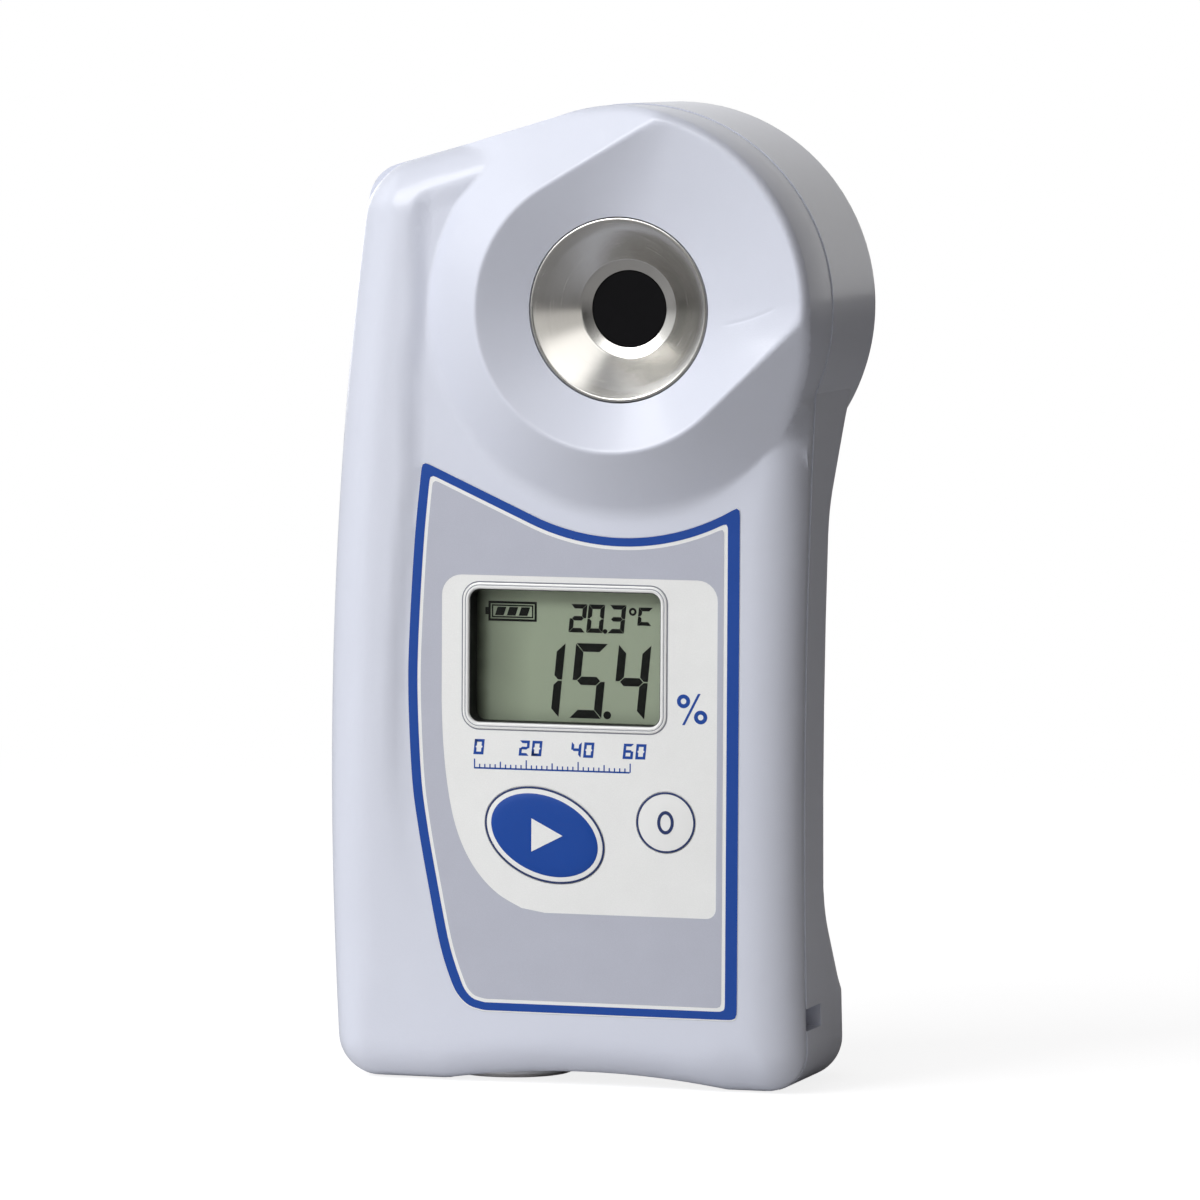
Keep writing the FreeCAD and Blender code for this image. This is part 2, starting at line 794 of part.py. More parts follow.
def sample_stage():
    bore, flange = prism_radius + prism_fit, stage_radius + stage_flange
    flange_y = stage_back_y - stage_flange_thickness
    profile = [
        (stage_radius, stage_rim_y), (stage_radius - cone_rim, stage_rim_y),
        (cone_foot_radius, prism_face_y - bevel_depth), (bore, prism_face_y), (bore, stage_back_y),
        (flange, stage_back_y), (flange, flange_y), (stage_radius, flange_y),
    ]
    return turned(profile, head_x, head_z)


def ring(inner, outer, y0, y1):
    return rod_y(head_x, head_z, outer, y0, y1).cut(rod_y(head_x, head_z, inner, y0 - 1, y1 + 1))


def stage_seal():
    outer = stage_radius + stage_flange - seal_edge_gap
    return ring(stage_radius + stage_fit, outer, inner_front_y, inner_front_y + seal_section)


def prism_seal():
    return ring(prism_radius + prism_fit, retainer_bore - seal_edge_gap, stage_back_y, prism_base_y)


def stage_retainer():
    plate = ring(retainer_bore, retainer_radius, stage_back_y, prism_base_y)
    bead_hole = bead_radius + touch_gap
    return plate.cut(rod_y(head_x + bead_offset, head_z, bead_hole, stage_back_y - 1, prism_base_y + 1))


def temperature_sensor():
    bead = rod_y(head_x + bead_offset, head_z, bead_radius, stage_back_y, stage_back_y + bead_length)
    end = [e for e in bead.Edges if middle(e).y > stage_back_y + bead_length - 0.01]
    return bead.makeFillet(bead_radius / 2, end)


def cross_slab(points, half_width):
    """Extrude a (y, z) outline, given about the head axis, across X."""
    corners = [V(head_x - half_width, y, head_z + z) for y, z in points]
    return Part.Face(Part.Wire(polygon(corners))).extrude(V(2 * half_width, 0, 0))


def prism():
    half = prism_base_length / 2
    back_half = half - facet_fall
    y0, y1 = prism_base_y, prism_base_y + prism_base_depth
    base = cross_slab([(y0, -half), (y1, -back_half), (y1, back_half), (y0, half)], prism_base_width / 2)
    return base.fuse(rod_y(head_x, head_z, prism_radius, prism_face_y, y0)).removeSplitter()


def light_path(shape, side):
    """Carry a shape built up its own Z axis onto the light path below (-1) or above (+1) the prism."""
    turn = -light_tilt if side > 0 else light_tilt - 180
    shape.rotate(V(0, 0, 0), V(1, 0, 0), turn)
    shape.translate(V(head_x, facet_y, head_z + side * facet_z))
    return shape


def optics_block():
    reach = light_bore + light_wall
    end_y, end_z = facet_y + light_length * light_y, facet_z + light_length * light_z
    outer = (end_y - reach * light_z, end_z + reach * light_y)
    inner = (end_y + reach * light_z, end_z - reach * light_y)
    front_run = (outer[0] - prism_base_y) / light_y
    front = (prism_base_y, outer[1] - front_run * light_z)
    rear_y = prism_base_y + prism_base_depth + 2 * light_wall
    rear = (rear_y, inner[1] - (inner[0] - rear_y) / light_y * light_z)
    half = [front, outer, inner, rear]
    points = [(y, -z) for y, z in half] + [(y, z) for y, z in reversed(half)]
    block = cross_slab(points, optics_half_width)
    for side in (-1, 1):
        z0, z1 = sorted((head_z + side * optics_ear_low, head_z + side * optics_ear_high))
        x0, x1 = head_x - optics_ear_reach, head_x + optics_ear_reach
        block = block.fuse(box(x0, x1, prism_base_y, prism_base_y + optics_ear_thickness, z0, z1))
    for side in (-1, 1):
        bore = Part.makeCylinder(light_bore, light_length + light_bore, V(0, 0, -1))
        block = block.cut(light_path(bore, side))
    half_z = prism_base_length / 2 + touch_gap
    pocket_y = prism_base_y + prism_base_depth + touch_gap
    x0, x1 = head_x - prism_base_width / 2 - touch_gap, head_x + prism_base_width / 2 + touch_gap
    block = block.cut(box(x0, x1, prism_base_y - 1, pocket_y, head_z - half_z, head_z + half_z))
    for x, z in optics_posts:
        block = block.cut(rod_y(x, z, optics_screw_radius + touch_gap, prism_base_y - 1, back_y))
    return block


def end_board(side):
    reach = light_bore + light_wall
    half_x = optics_half_width - small_board_side_gap
    return light_path(box(-half_x, half_x, -reach, reach, light_length, light_length + small_board), side)


def led_emitter():
    foot = V(0, 0, light_length - led_height)
    body = Part.makeCylinder(led_radius, led_height, foot)
    dome = Part.makeSphere(led_dome, foot)
    return light_path(body.fuse(dome), -1)


def line_sensor():
    x, y = sensor_half_length, sensor_half_width
    return light_path(box(-x, x, -y, y, light_length - sensor_height, light_length), 1)


def lens(side):
    radius = light_bore - lens_fit
    disc = Part.makeCylinder(radius, lens_thickness, V(0, 0, lens_place - lens_thickness / 2))
    bow = lens_bow * radius
    for way in (-1, 1):
        centre_z = lens_place + way * (lens_thickness / 2 - bow)
        disc = disc.common(Part.makeSphere(bow, V(0, 0, centre_z)))
    return light_path(disc, side)


def strip_outline(points, thickness):
    """Closed (y, z) outline of a thin strip along a bent path."""
    left, right = [], []
    for k, (y, z) in enumerate(points):
        before = points[max(k - 1, 0)]
        after = points[min(k + 1, len(points) - 1)]
        dy, dz = after[0] - before[0], after[1] - before[1]
        size = math.hypot(dy, dz)
        ny, nz = -dz / size * thickness / 2, dy / size * thickness / 2
        left.append((y + ny, z + nz))
        right.append((y - ny, z - nz))
    return left + right[::-1]


def sensor_ribbon():
    end_y = facet_y + (light_length + small_board) * light_y + ribbon_thickness / 2
    end_z = facet_z + (light_length + small_board) * light_z + ribbon_thickness / 2
    rest_y = board_back_y + ribbon_thickness / 2 + lens_fit
    low = board_top_z - head_z
    points = [
        (end_y, -end_z), (end_y - ribbon_bend, -end_z - ribbon_bend - 1),
        (rest_y + ribbon_lift, low + ribbon_bend), (rest_y, low - ribbon_lift), (rest_y, low - ribbon_plug),
    ]
    return cross_slab(strip_outline(points, ribbon_thickness), ribbon_width / 2)


def battery_tube():
    top = cells_top_z + contact_thickness + tube_wall
    tube = rod_z(battery_x, battery_y, tube_radius, collar_top_z, top)
    back_plane = waist_y - back_wall - touch_gap * 2
    front_plane = battery_y - cell_radius + tube_flat
    x0, x1 = battery_x - 2 * tube_radius, battery_x + 2 * tube_radius
    tube = tube.common(box(x0, x1, front_plane, back_plane, 0, height))
    tube = tube.fuse(rod_z(battery_x, battery_y, collar_radius, collar_base_z, collar_top_z))
    tube = tube.cut(rod_z(battery_x, battery_y, cell_radius + cell_gap, 0, cells_top_z + contact_thickness))
    tube = tube.cut(rod_z(battery_x, battery_y, cap_plug_radius + cap_fit, 0, collar_top_z))
    step_z = cap_bottom_z + cap_thickness + touch_gap
    return tube.cut(rod_z(battery_x, battery_y, cap_radius + cap_fit, 0, step_z))


def cell(start_z):
    can = rod_z(battery_x, battery_y, cell_radius, start_z, start_z + cell_length - cell_nub_height)
    rims = [e for e in can.Edges if isinstance(e.Curve, Part.Circle)]
    can = can.makeFillet(cell_rim_round, rims)
    return can.fuse(rod_z(battery_x, battery_y, cell_nub_radius, start_z + 1, start_z + cell_length))


def contact_plate():
    return rod_z(battery_x, battery_y, cell_radius, cells_top_z, cells_top_z + contact_thickness)


def contact_strip():
    """Sprung metal strip from the top contact down the flat of the tube to the circuit board."""
    x0 = battery_x + cell_radius / 2
    x1 = x0 + contact_strip_width
    flat_y = battery_y - cell_radius + tube_flat
    strip_y = flat_y - contact_thickness
    top = cells_top_z + contact_thickness + tube_wall
    foot_z = board_top_z - contact_strip_width - contact_strip_end
    strip = box(x0, x1, strip_y, flat_y, foot_z, top + contact_thickness)
    strip = strip.fuse(box(x0, x1, strip_y, battery_y, top, top + contact_thickness))
    return strip.fuse(box(x0, x1, board_back_y, flat_y, foot_z, foot_z + contact_strip_end))


def battery_cap():
    plate_top = cap_bottom_z + cap_thickness
    plate = rod_z(battery_x, battery_y, cap_radius, cap_bottom_z, plate_top)
    low = [e for e in plate.Edges if middle(e).z < cap_bottom_z + 0.01]
    plate = plate.makeFillet(cap_edge_round, low)
    plug = rod_z(battery_x, battery_y, cap_plug_radius, plate_top, plate_top + cap_plug_height)
    cap = plate.fuse(plug).cut(seal_groove())
    x0, x1 = battery_x - coin_slot_reach, battery_x + coin_slot_reach
    y0, y1 = battery_y - coin_slot_width / 2, battery_y + coin_slot_width / 2
    return cap.cut(box(x0, x1, y0, y1, 0, cap_bottom_z + coin_slot_depth))


def seal_groove():
    z0 = cap_bottom_z + cap_thickness + cap_plug_height / 2 - seal_section / 2
    z1 = z0 + seal_section
    outer = rod_z(battery_x, battery_y, cap_plug_radius + 1, z0, z1)
    return outer.cut(rod_z(battery_x, battery_y, cap_plug_radius - seal_section, z0 - 1, z1 + 1))


def cap_seal():
    return seal_groove().common(rod_z(battery_x, battery_y, cap_plug_radius + touch_gap, 0, collar_top_z))


def contact_carrier():
    z0 = cap_bottom_z + cap_thickness + cap_plug_height
    return rod_z(battery_x, battery_y, carrier_radius, z0, z0 + carrier_height)


def cap_spring():
    """Conical contact spring between the carrier and the lower cell."""
    z0 = cap_bottom_z + cap_thickness + cap_plug_height + carrier_height
    rise = battery_start_z - z0
    foot = V(battery_x, battery_y, z0)
    low, high = spring_foot_radius, cell_nub_radius
    cone = Part.makeCone(low, high, rise, foot)
    return cone.cut(Part.makeCone(low - contact_thickness, high - contact_thickness, rise, foot))


def sub_parts():
    return {
        "front_case": front_case(),
        "back_case": back_case(),
        "case_seal": case_seal(),
        "case_screws": case_screws(),
        "overlay_sheet": overlay_sheet(),
        "display_bezel": display_bezel(),
        "display_window": display_window(),
        "lcd_frame": lcd_frame(),
        "lcd_panel": lcd_block(0, lcd_y, lcd_y + lcd_thickness),
        "zebra_strips": zebra_strips(),
        "main_board": main_board(),
        "board_screws": board_screws(),
        "processor_chip": processor_chip(),
        "board_parts": board_parts(),
        "start_switch": switch_base(start_x, start_z),
        "zero_switch": switch_base(zero_x, zero_z),
        "start_key": key_cap(start_block),
        "start_plunger": key_plunger(start_x, start_z),
        "zero_key": key_cap(zero_block),
        "zero_plunger": key_plunger(zero_x, zero_z),
        "sample_stage": sample_stage(),
        "stage_seal": stage_seal(),
        "stage_retainer": stage_retainer(),
        "prism": prism(),
        "prism_seal": prism_seal(),
        "temperature_sensor": temperature_sensor(),
        "optics_block": optics_block(),
        "optics_screws": optics_screws(),
        "led_board": end_board(-1),
        "led_emitter": led_emitter(),
        "collimator_lens": lens(-1),
        "imaging_lens": lens(1),
        "sensor_board": end_board(1),
        "line_sensor": line_sensor(),
        "sensor_ribbon": sensor_ribbon(),
        "battery_tube": battery_tube(),
        "battery_lower": cell(battery_start_z),
        "battery_upper": cell(battery_start_z + cell_length),
        "contact_plate": contact_plate(),
        "contact_strip": contact_strip(),
        "battery_cap": battery_cap(),
        "cap_seal": cap_seal(),
        "contact_carrier": contact_carrier(),
        "cap_spring": cap_spring(),
    }


os.makedirs("parts", exist_ok=True)
for name, solid in sub_parts().items():
    solid.exportStep("parts/" + name + ".step")
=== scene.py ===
import math

import bmesh
import bpy
import numpy as np
from mathutils import Matrix, Vector
from mathutils.geometry import delaunay_2d_cdt


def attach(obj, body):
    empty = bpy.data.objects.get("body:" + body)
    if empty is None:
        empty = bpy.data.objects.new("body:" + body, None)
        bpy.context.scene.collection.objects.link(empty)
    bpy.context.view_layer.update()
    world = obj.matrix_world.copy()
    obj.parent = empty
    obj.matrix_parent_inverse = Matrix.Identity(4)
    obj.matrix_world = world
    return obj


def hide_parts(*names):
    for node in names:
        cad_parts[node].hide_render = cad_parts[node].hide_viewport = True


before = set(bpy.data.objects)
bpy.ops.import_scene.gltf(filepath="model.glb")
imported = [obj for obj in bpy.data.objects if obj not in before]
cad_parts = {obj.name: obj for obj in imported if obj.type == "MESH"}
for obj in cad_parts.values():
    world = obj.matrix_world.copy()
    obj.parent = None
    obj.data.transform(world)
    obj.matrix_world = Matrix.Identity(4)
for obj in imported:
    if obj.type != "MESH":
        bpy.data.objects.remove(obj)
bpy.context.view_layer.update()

# Digital refractometer. Shapes are worked out in millimetres and written to meshes in metres.
# x runs to the right, z up, and y backwards, so a height towards the viewer is minus y.

MM = 0.001

# Case
LEFT_X, RIGHT_X = -28.8, 28.8
LABEL_H = 9.9
PART_H = 5.3
CREST_H = 15.45
SIDE_BOW = 490.0
WIDEST_Z = 36.0
CORNER = 4.5
ROUND_DEPTH = 4.4
RIDGE = 0.8
SEAM_STEP = 0.13
HEAD_X, HEAD_Z, HEAD_R = 6.2, 86.4, 22.6
SHOULDER = math.radians(15.8)
RIGHT_LINE = ((26.6, 0.0), (25.95, 33.0), (26.95, 78.87))
FOOT_LEFT, FOOT_RIGHT, ARCH = -14.98, 17.6, 1.3

# Dish in the head
HEAD = (HEAD_X, HEAD_Z)
DISH_R, SCOOP_R = 15.1, 21.2
SCOOP_TURN = math.radians(37.0)
SCOOP_HALF = math.radians(39.0)
FLANK = SCOOP_HALF + math.acos(DISH_R / SCOOP_R)
CREST_LAND = 0.6
DISH_FLOOR_H = 12.3
STAGE_HOLE_R = 10.25
BOSS_SLOPE = 5.6 / 6.9
WALL_SLOPE = 11.0
EDGE_ROUND = 1.1
CREASE_DEPTH, CREASE_HALF = 0.05, 0.17

# Window: middle x and z, width and height. Keys: middle x and z, half of each axis, and tilt.
LCD_H = 7.3
WINDOW = (-0.475, 47.8, 22.05, 14.8)
WINDOW_R = 1.2
START = (-2.65, 28.05, 7.2, 5.05, math.radians(-21.4))
ZERO = (11.3, 29.9, 3.4, 3.4, 0.0)
WINDOW_ROOM, KEY_ROOM = 1.0, 0.2


class Value:
    """A socket of a material's node tree. Arithmetic on it adds Math nodes."""

    def __init__(self, socket):
        self.socket = socket

    @property
    def tree(self):
        return self.socket.id_data

    @staticmethod
    def node(tree, kind, settings=None, sockets=None, output=0):
        """Add a shader node: its settings first, then the values or links of its sockets."""
        made = tree.nodes.new("ShaderNode" + kind)
        for name, setting in (settings or {}).items():
            if name == "stops":
                set_stops(made.color_ramp, setting)
            else:
                setattr(made, name, setting)
        for name, value in (sockets or {}).items():
            if isinstance(value, Value):
                tree.links.new(value.socket, made.inputs[name])
            else:
                made.inputs[name].default_value = value
        return Value(made.outputs[output]) if made.outputs else None

    def other(self, output):
        """Another output of the same node."""
        return Value(self.socket.node.outputs[output])

    def math(self, operation, *others):
        sockets = dict(enumerate((self, *others)))
        return Value.node(self.tree, "Math", {"operation": operation}, sockets)

    def swapped(self, operation, other):
        return Value.node(self.tree, "Math", {"operation": operation}, {0: other, 1: self})

    def __add__(self, other):
        return self.math("ADD", other)

    def __radd__(self, other):
        return self.swapped("ADD", other)

    def __sub__(self, other):
        return self.math("SUBTRACT", other)

    def __rsub__(self, other):
        return self.swapped("SUBTRACT", other)

    def __mul__(self, other):
        return self.math("MULTIPLY", other)

    def __rmul__(self, other):
        return self.swapped("MULTIPLY", other)

    def __truediv__(self, other):
        return self.math("DIVIDE", other)

    def __rtruediv__(self, other):
        return self.swapped("DIVIDE", other)


def set_stops(ramp, stops):
    while len(ramp.elements) < len(stops):
        ramp.elements.new(0.5)
    for element, (place, colour) in zip(ramp.elements, stops):
        element.position = place
        element.color = (*colour, 1.0)


def linear(r, g, b):
    """An sRGB colour, 0 to 255, as the linear colour that a material takes."""
    parts = []
    for c in (r / 255, g / 255, b / 255):
        parts.append(c / 12.92 if c <= 0.04045 else ((c + 0.055) / 1.055) ** 2.4)
    return (*parts, 1.0)


def shade(colour, amount):
    """A colour made darker or lighter by a factor, no brighter than white."""
    return (*(min(c * amount, 1.0) for c in colour[:3]), 1.0)


def mixed(factor, a, b):
    """Colour a where the factor is 0 and b where it is 1."""
    settings = {"data_type": "RGBA", "clamp_factor": True}
    return Value.node(factor.tree, "Mix", settings, {0: factor, 6: a, 7: b}, 2)


def blended(factor, a, b):
    """Shader a where the factor is 0 and b where it is 1."""
    return Value.node(factor.tree, "MixShader", None, {0: factor, 1: a, 2: b})


def eased(value, low, high, kind="SMOOTHSTEP"):
    """0 where a value is low and 1 where it is high."""
    sockets = {0: value, 1: low, 2: high}
    return Value.node(value.tree, "MapRange", {"interpolation_type": kind}, sockets)


def place_mm(tree):
    """Place on the object in millimetres."""
    place = Value.node(tree, "TexCoord", output=3)
    return Value.node(tree, "VectorMath", {"operation": "SCALE"}, {0: place, 3: 1 / MM})


def noise(place, scale, detail, roughness=0.5):
    sockets = {"Vector": place, "Scale": scale, "Detail": detail, "Roughness": roughness}
    return Value.node(place.tree, "TexNoise", None, sockets)


def bumped(height, distance):
    """Normals of a surface that rises with height by a distance in millimetres."""
    sockets = {"Height": height, "Distance": distance * MM, "Strength": 1.0}
    return Value.node(height.tree, "Bump", None, sockets)


def new_material(name):
    material = bpy.data.materials.new(name)
    material.use_nodes = True
    material.node_tree.nodes.clear()
    return material, material.node_tree


def close(tree, shader, kind="OutputMaterial"):
    Value.node(tree, kind, None, {"Surface": shader})


def surface(tree, sockets):
    return Value.node(tree, "BsdfPrincipled", None, sockets)


def moulded(name, colour, roughness, grain, tint, coat=0.0):
    """Moulded plastic or rubber: fine spark-eroded grain, soft cloudy colour and scuffed gloss."""
    material, tree = new_material(name)
    place = place_mm(tree)
    cloud = noise(place, 0.09, 3.0)
    fine = noise(place, 5.0, 2.0, 0.6)
    scuff = noise(place, 0.8, 4.0, 0.7)
    sockets = {
        "Base Color": mixed(cloud * 0.7 + fine * 0.3, shade(colour, 1 - tint), shade(colour, 1 + tint)),
        "Roughness": roughness + (scuff - 0.5) * 0.12,
        "Normal": bumped(fine, grain),
        "Coat Weight": coat,
        "Coat Roughness": 0.12,
    }
    close(tree, surface(tree, sockets))
    return material


def printed(name, colour, roughness=0.38):
    """Printed ink on film: even colour with fine screen dots and a satin face."""
    material, tree = new_material(name)
    place = place_mm(tree)
    dots = Value.node(tree, "TexVoronoi", None, {"Vector": place, "Scale": 7.0})
    cloud = noise(place, 0.25, 3.0)
    sockets = {
        "Base Color": mixed(dots * 0.5 + cloud * 0.5, shade(colour, 0.94), shade(colour, 1.05)),
        "Roughness": roughness + (cloud - 0.5) * 0.1,
        "Normal": bumped(dots, 0.006),
    }
    close(tree, surface(tree, sockets))
    return material


MARKS_ACROSS, MARKS_ALONG = 9.0, 0.4


def metal(name, colour, roughness, turned_about=None, groove=0.004):
    """Metal with fine marks of machining, round an axis along y at a given x and z, or along x."""
    material, tree = new_material(name)
    place = place_mm(tree)
    x = Value.node(tree, "SeparateXYZ", None, {0: place})
    y, z = x.other(1), x.other(2)
    if turned_about:
        dx, dz = x - turned_about[0], z - turned_about[1]
        radius = (dx * dx + dz * dz).math("SQRT")
        sockets = {0: radius * MARKS_ACROSS, 1: y * MARKS_ACROSS}
    else:
        sockets = {0: x * MARKS_ALONG, 1: y * MARKS_ACROSS, 2: z * MARKS_ACROSS}
    marks = noise(Value.node(tree, "CombineXYZ", None, sockets), 1.0, 3.0, 0.7)
    cloud = noise(place, 0.5, 3.0)
    sockets = {
        "Base Color": mixed(marks * 0.6 + cloud * 0.4, shade(colour, 0.86), colour),
        "Metallic": 1.0,
        "Roughness": roughness + (marks - 0.5) * 0.16 + (cloud - 0.5) * 0.08,
        "Normal": bumped(marks, groove),
    }
    close(tree, surface(tree, sockets))
    return material


def clear(name, colour, roughness, gloss):
    """Clear glass seen through from the front: a faint tint and a sharp reflection."""
    material, tree = new_material(name)
    film = noise(place_mm(tree), 0.7, 3.0)
    through = Value.node(tree, "BsdfTransparent", None, {"Color": colour})
    sockets = {"Base Color": (0.02, 0.02, 0.02, 1.0), "Roughness": roughness + (film - 0.5) * roughness}
    facing = Value.node(tree, "Fresnel", None, {"IOR": 1.45})
    close(tree, blended(facing * gloss, through, surface(tree, sockets)))
    return material


# Shares of the display's width from its left, and the reflector's colour there; the dark first stops are the
# bezel's shadow, painted onto the reflector
REFLECTOR_AND_BEZEL_SHADOW = (
    (0.0, (0.05, 0.06, 0.04)), (0.075, (0.48, 0.55, 0.42)), (0.3, (0.87, 0.99, 0.76)),
    (1.0, (0.89, 1.0, 0.78)),
)


def display_face(name):
    """Liquid crystal display: a dull green reflector with the bezel's shadow painted dark on its left end,
    under fine dots.
    """
    material, tree = new_material(name)
    place = place_mm(tree)
    x = Value.node(tree, "SeparateXYZ", None, {0: place})
    cloud = noise(place, 0.22, 2.0)
    dots = noise(place, 9.0, 1.0)
    across = (x - WINDOW[0]) / WINDOW[2] + 0.5 + (cloud - 0.5) * 0.06
    # The ramp paints the bezel's shadow as a dark left end on the reflector.
    colour = Value.node(tree, "ValToRGB", {"stops": REFLECTOR_AND_BEZEL_SHADOW}, {0: across})
    sockets = {
        "Base Color": mixed(dots * 0.12, colour, (0.46, 0.52, 0.4, 1.0)),
        "Roughness": 0.32 + cloud * 0.08,
        "Normal": bumped(dots, 0.003),
    }
    close(tree, surface(tree, sockets))
    return material


CASE_COLOUR = linear(220, 224, 238)
WHITE_COLOUR = linear(243, 244, 244)
BLUE_COLOUR = linear(8, 70, 162)
NAVY_COLOUR = linear(34, 52, 104)
case_plastic = moulded("case_plastic_lavender", CASE_COLOUR, 0.36, 0.010, 0.02, 0.3)
film_white = printed("film_white_ink", WHITE_COLOUR)
film_grey = printed("film_grey_ink", linear(189, 192, 206))
film_blue = printed("film_blue_ink", BLUE_COLOUR)
film_navy = printed("film_navy_ink", NAVY_COLOUR)
bezel_white = moulded("bezel_white_gloss", WHITE_COLOUR, 0.22, 0.003, 0.01, 0.3)
line_grey = printed("line_grey_ink", linear(142, 144, 156))
key_white = moulded("key_white_satin", WHITE_COLOUR, 0.3, 0.004, 0.01)
key_blue = moulded("key_blue_satin", BLUE_COLOUR, 0.3, 0.004, 0.05)
window_clear = clear("window_clear", (0.96, 0.97, 0.96, 1.0), 0.03, 0.9)
lcd_face = display_face("display_green")
segment_ink = printed("display_segment", linear(16, 20, 14), 0.3)
stage_steel = metal("stage_turned_steel", linear(226, 224, 219), 0.24, (HEAD_X, HEAD_Z), 0.002)
screw_steel = metal("screw_plated_steel", linear(186, 186, 188), 0.32)
spring_metal = metal("contact_plated_spring", linear(206, 190, 150), 0.3)
cell_can = metal("cell_printed_can", linear(88, 112, 140), 0.34)
prism_black = moulded("prism_polished_black", (0.004, 0.004, 0.005, 1.0), 0.06, 0.0005, 0.3, 0.2)
black_plastic = moulded("black_moulded", linear(38, 38, 40), 0.5, 0.008, 0.1)
seal_rubber = moulded("seal_black_rubber", linear(34, 34, 36), 0.7, 0.02, 0.12)
zebra_rubber = moulded("strip_grey_rubber", linear(92, 92, 96), 0.65, 0.02, 0.12)
board_green = moulded("board_green_resist", linear(28, 92, 58), 0.35, 0.01, 0.15)
ceramic_tan = moulded("part_tan_ceramic", linear(178, 156, 120), 0.5, 0.01, 0.12)
tube_plastic = moulded("tube_natural_plastic", linear(204, 205, 210), 0.45, 0.01, 0.03)
cap_plastic = moulded("cap_warm_grey", linear(206, 204, 206), 0.4, 0.01, 0.03)
ribbon_amber = moulded("ribbon_amber_film", linear(176, 104, 44), 0.35, 0.005, 0.1)
lens_clear = clear("lens_clear", (0.9, 0.94, 0.95, 1.0), 0.04, 1.0)
lamp_clear = clear("lamp_amber_clear", (0.95, 0.8, 0.5, 1.0), 0.08, 1.0)

NODE_FINISHES = (
    (case_plastic, "back_case"),
    (seal_rubber, "case_seal stage_seal prism_seal cap_seal"),
    (screw_steel, "case_screws board_screws optics_screws stage_retainer"),
    (black_plastic, "lcd_frame processor_chip start_switch zero_switch optics_block line_sensor"),
    (black_plastic, "contact_carrier"),
    (board_green, "main_board led_board sensor_board"),
    (ceramic_tan, "board_parts temperature_sensor"),
    (spring_metal, "contact_plate contact_strip cap_spring"),
    (lens_clear, "collimator_lens imaging_lens"),
    (cell_can, "battery_lower battery_upper"),
    (key_white, "start_plunger zero_plunger"),
    (window_clear, "display_window"), (lcd_face, "lcd_panel"), (zebra_rubber, "zebra_strips"),
    (prism_black, "prism"), (lamp_clear, "led_emitter"), (ribbon_amber, "sensor_ribbon"),
    (tube_plastic, "battery_tube"), (cap_plastic, "battery_cap"),
)
for finish, node_names in NODE_FINISHES:
    for node_name in node_names.split():
        for node_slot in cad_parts[node_name].material_slots:
            node_slot.material = finish


# Meshes

def in_scene(name, data):
    made = bpy.data.objects.new(name, data)
    bpy.context.scene.collection.objects.link(made)
    return made


def opened(name, points, faces):
    """A mesh from points (x, y, z) in millimetres, and a copy of it to edit."""
    mesh = bpy.data.meshes.new(name)
    mesh.from_pydata([(x * MM, y * MM, z * MM) for x, y, z in points], [], faces)
    copy = bmesh.new()
    copy.from_mesh(mesh)
    return mesh, copy


def finished(mesh, copy, finish, angle):
    """An object with the edited mesh, smooth except at edges sharper than angle."""
    bmesh.ops.recalc_face_normals(copy, faces=copy.faces)
    copy.to_mesh(mesh)
    copy.free()
    mesh.shade_smooth()
    mesh.set_sharp_from_angle(angle=math.radians(angle))
    mesh.materials.append(finish)
    return in_scene(mesh.name, mesh)


def new_piece(name, points, faces, finish, body, replaces, angle):
    """A piece that rides on a body and can stand for CAD nodes."""
    mesh, copy = opened(name, points, faces)
    bmesh.ops.remove_doubles(copy, verts=copy.verts, dist=0.002 * MM)
    piece = finished(mesh, copy, finish, angle)
    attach(piece, body)
    if replaces:
        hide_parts(*replaces)


def within(loop, x, z):
    """True where points lie inside a closed loop."""
    odd = np.zeros(np.shape(x), bool)
    a = np.array(loop)
    b = np.roll(a, -1, 0)
    for (ax, az), (bx, bz) in zip(a, b):
        odd ^= ((az > z) != (bz > z)) & (x < (bx - ax) * (z - az) / (bz - az + 1e-12) + ax)
    return odd


def loop_edges(first, count):
    """Pairs of numbers of neighbouring points on a closed loop."""
    return [(first + k, first + (k + 1) % count) for k in range(count)]


def filled(loops):
    """Triangles between an outer loop and its hole loops, numbered along the loops in turn."""
    flat, edges = [], []
    for loop in loops:
        edges += loop_edges(len(flat), len(loop))
        flat += [(float(x), float(z)) for x, z in loop]
    points, _, faces, *_ = delaunay_2d_cdt(flat, edges, [], 1, 1e-7)
    if len(points) != len(flat):
        raise ValueError("a plate's loops touch")
    faces = np.array([tuple(f) for f in faces])
    mid = np.array([tuple(p) for p in points])[faces].mean(1)
    kept = within(loops[0], mid[:, 0], mid[:, 1])
    for hole in loops[1:]:
        kept &= ~within(hole, mid[:, 0], mid[:, 1])
    return flat, faces[kept].tolist()


def flat_piece(name, shapes, front_h, back_h, finish, body="root", replaces=()):
    """One piece of flat shapes between two heights, each a loop of (x, z) or an outer loop and its holes."""
    points, faces = [], []
    for shape in shapes:
        loops = shape if isinstance(shape[0], list) else [shape]
        flat, tris = filled(loops)
        start, n = len(points), len(flat)
        points += [(x, -front_h, z) for x, z in flat] + [(x, -back_h, z) for x, z in flat]
        faces += [tuple(start + k for k in t) for t in tris]
        faces += [tuple(start + n + k for k in reversed(t)) for t in tris]
        for loop in loops:
            faces += [(a, b, b + n, a + n) for a, b in loop_edges(start, len(loop))]
            start += len(loop)
    new_piece(name, points, faces, finish, body, replaces, 38.0)


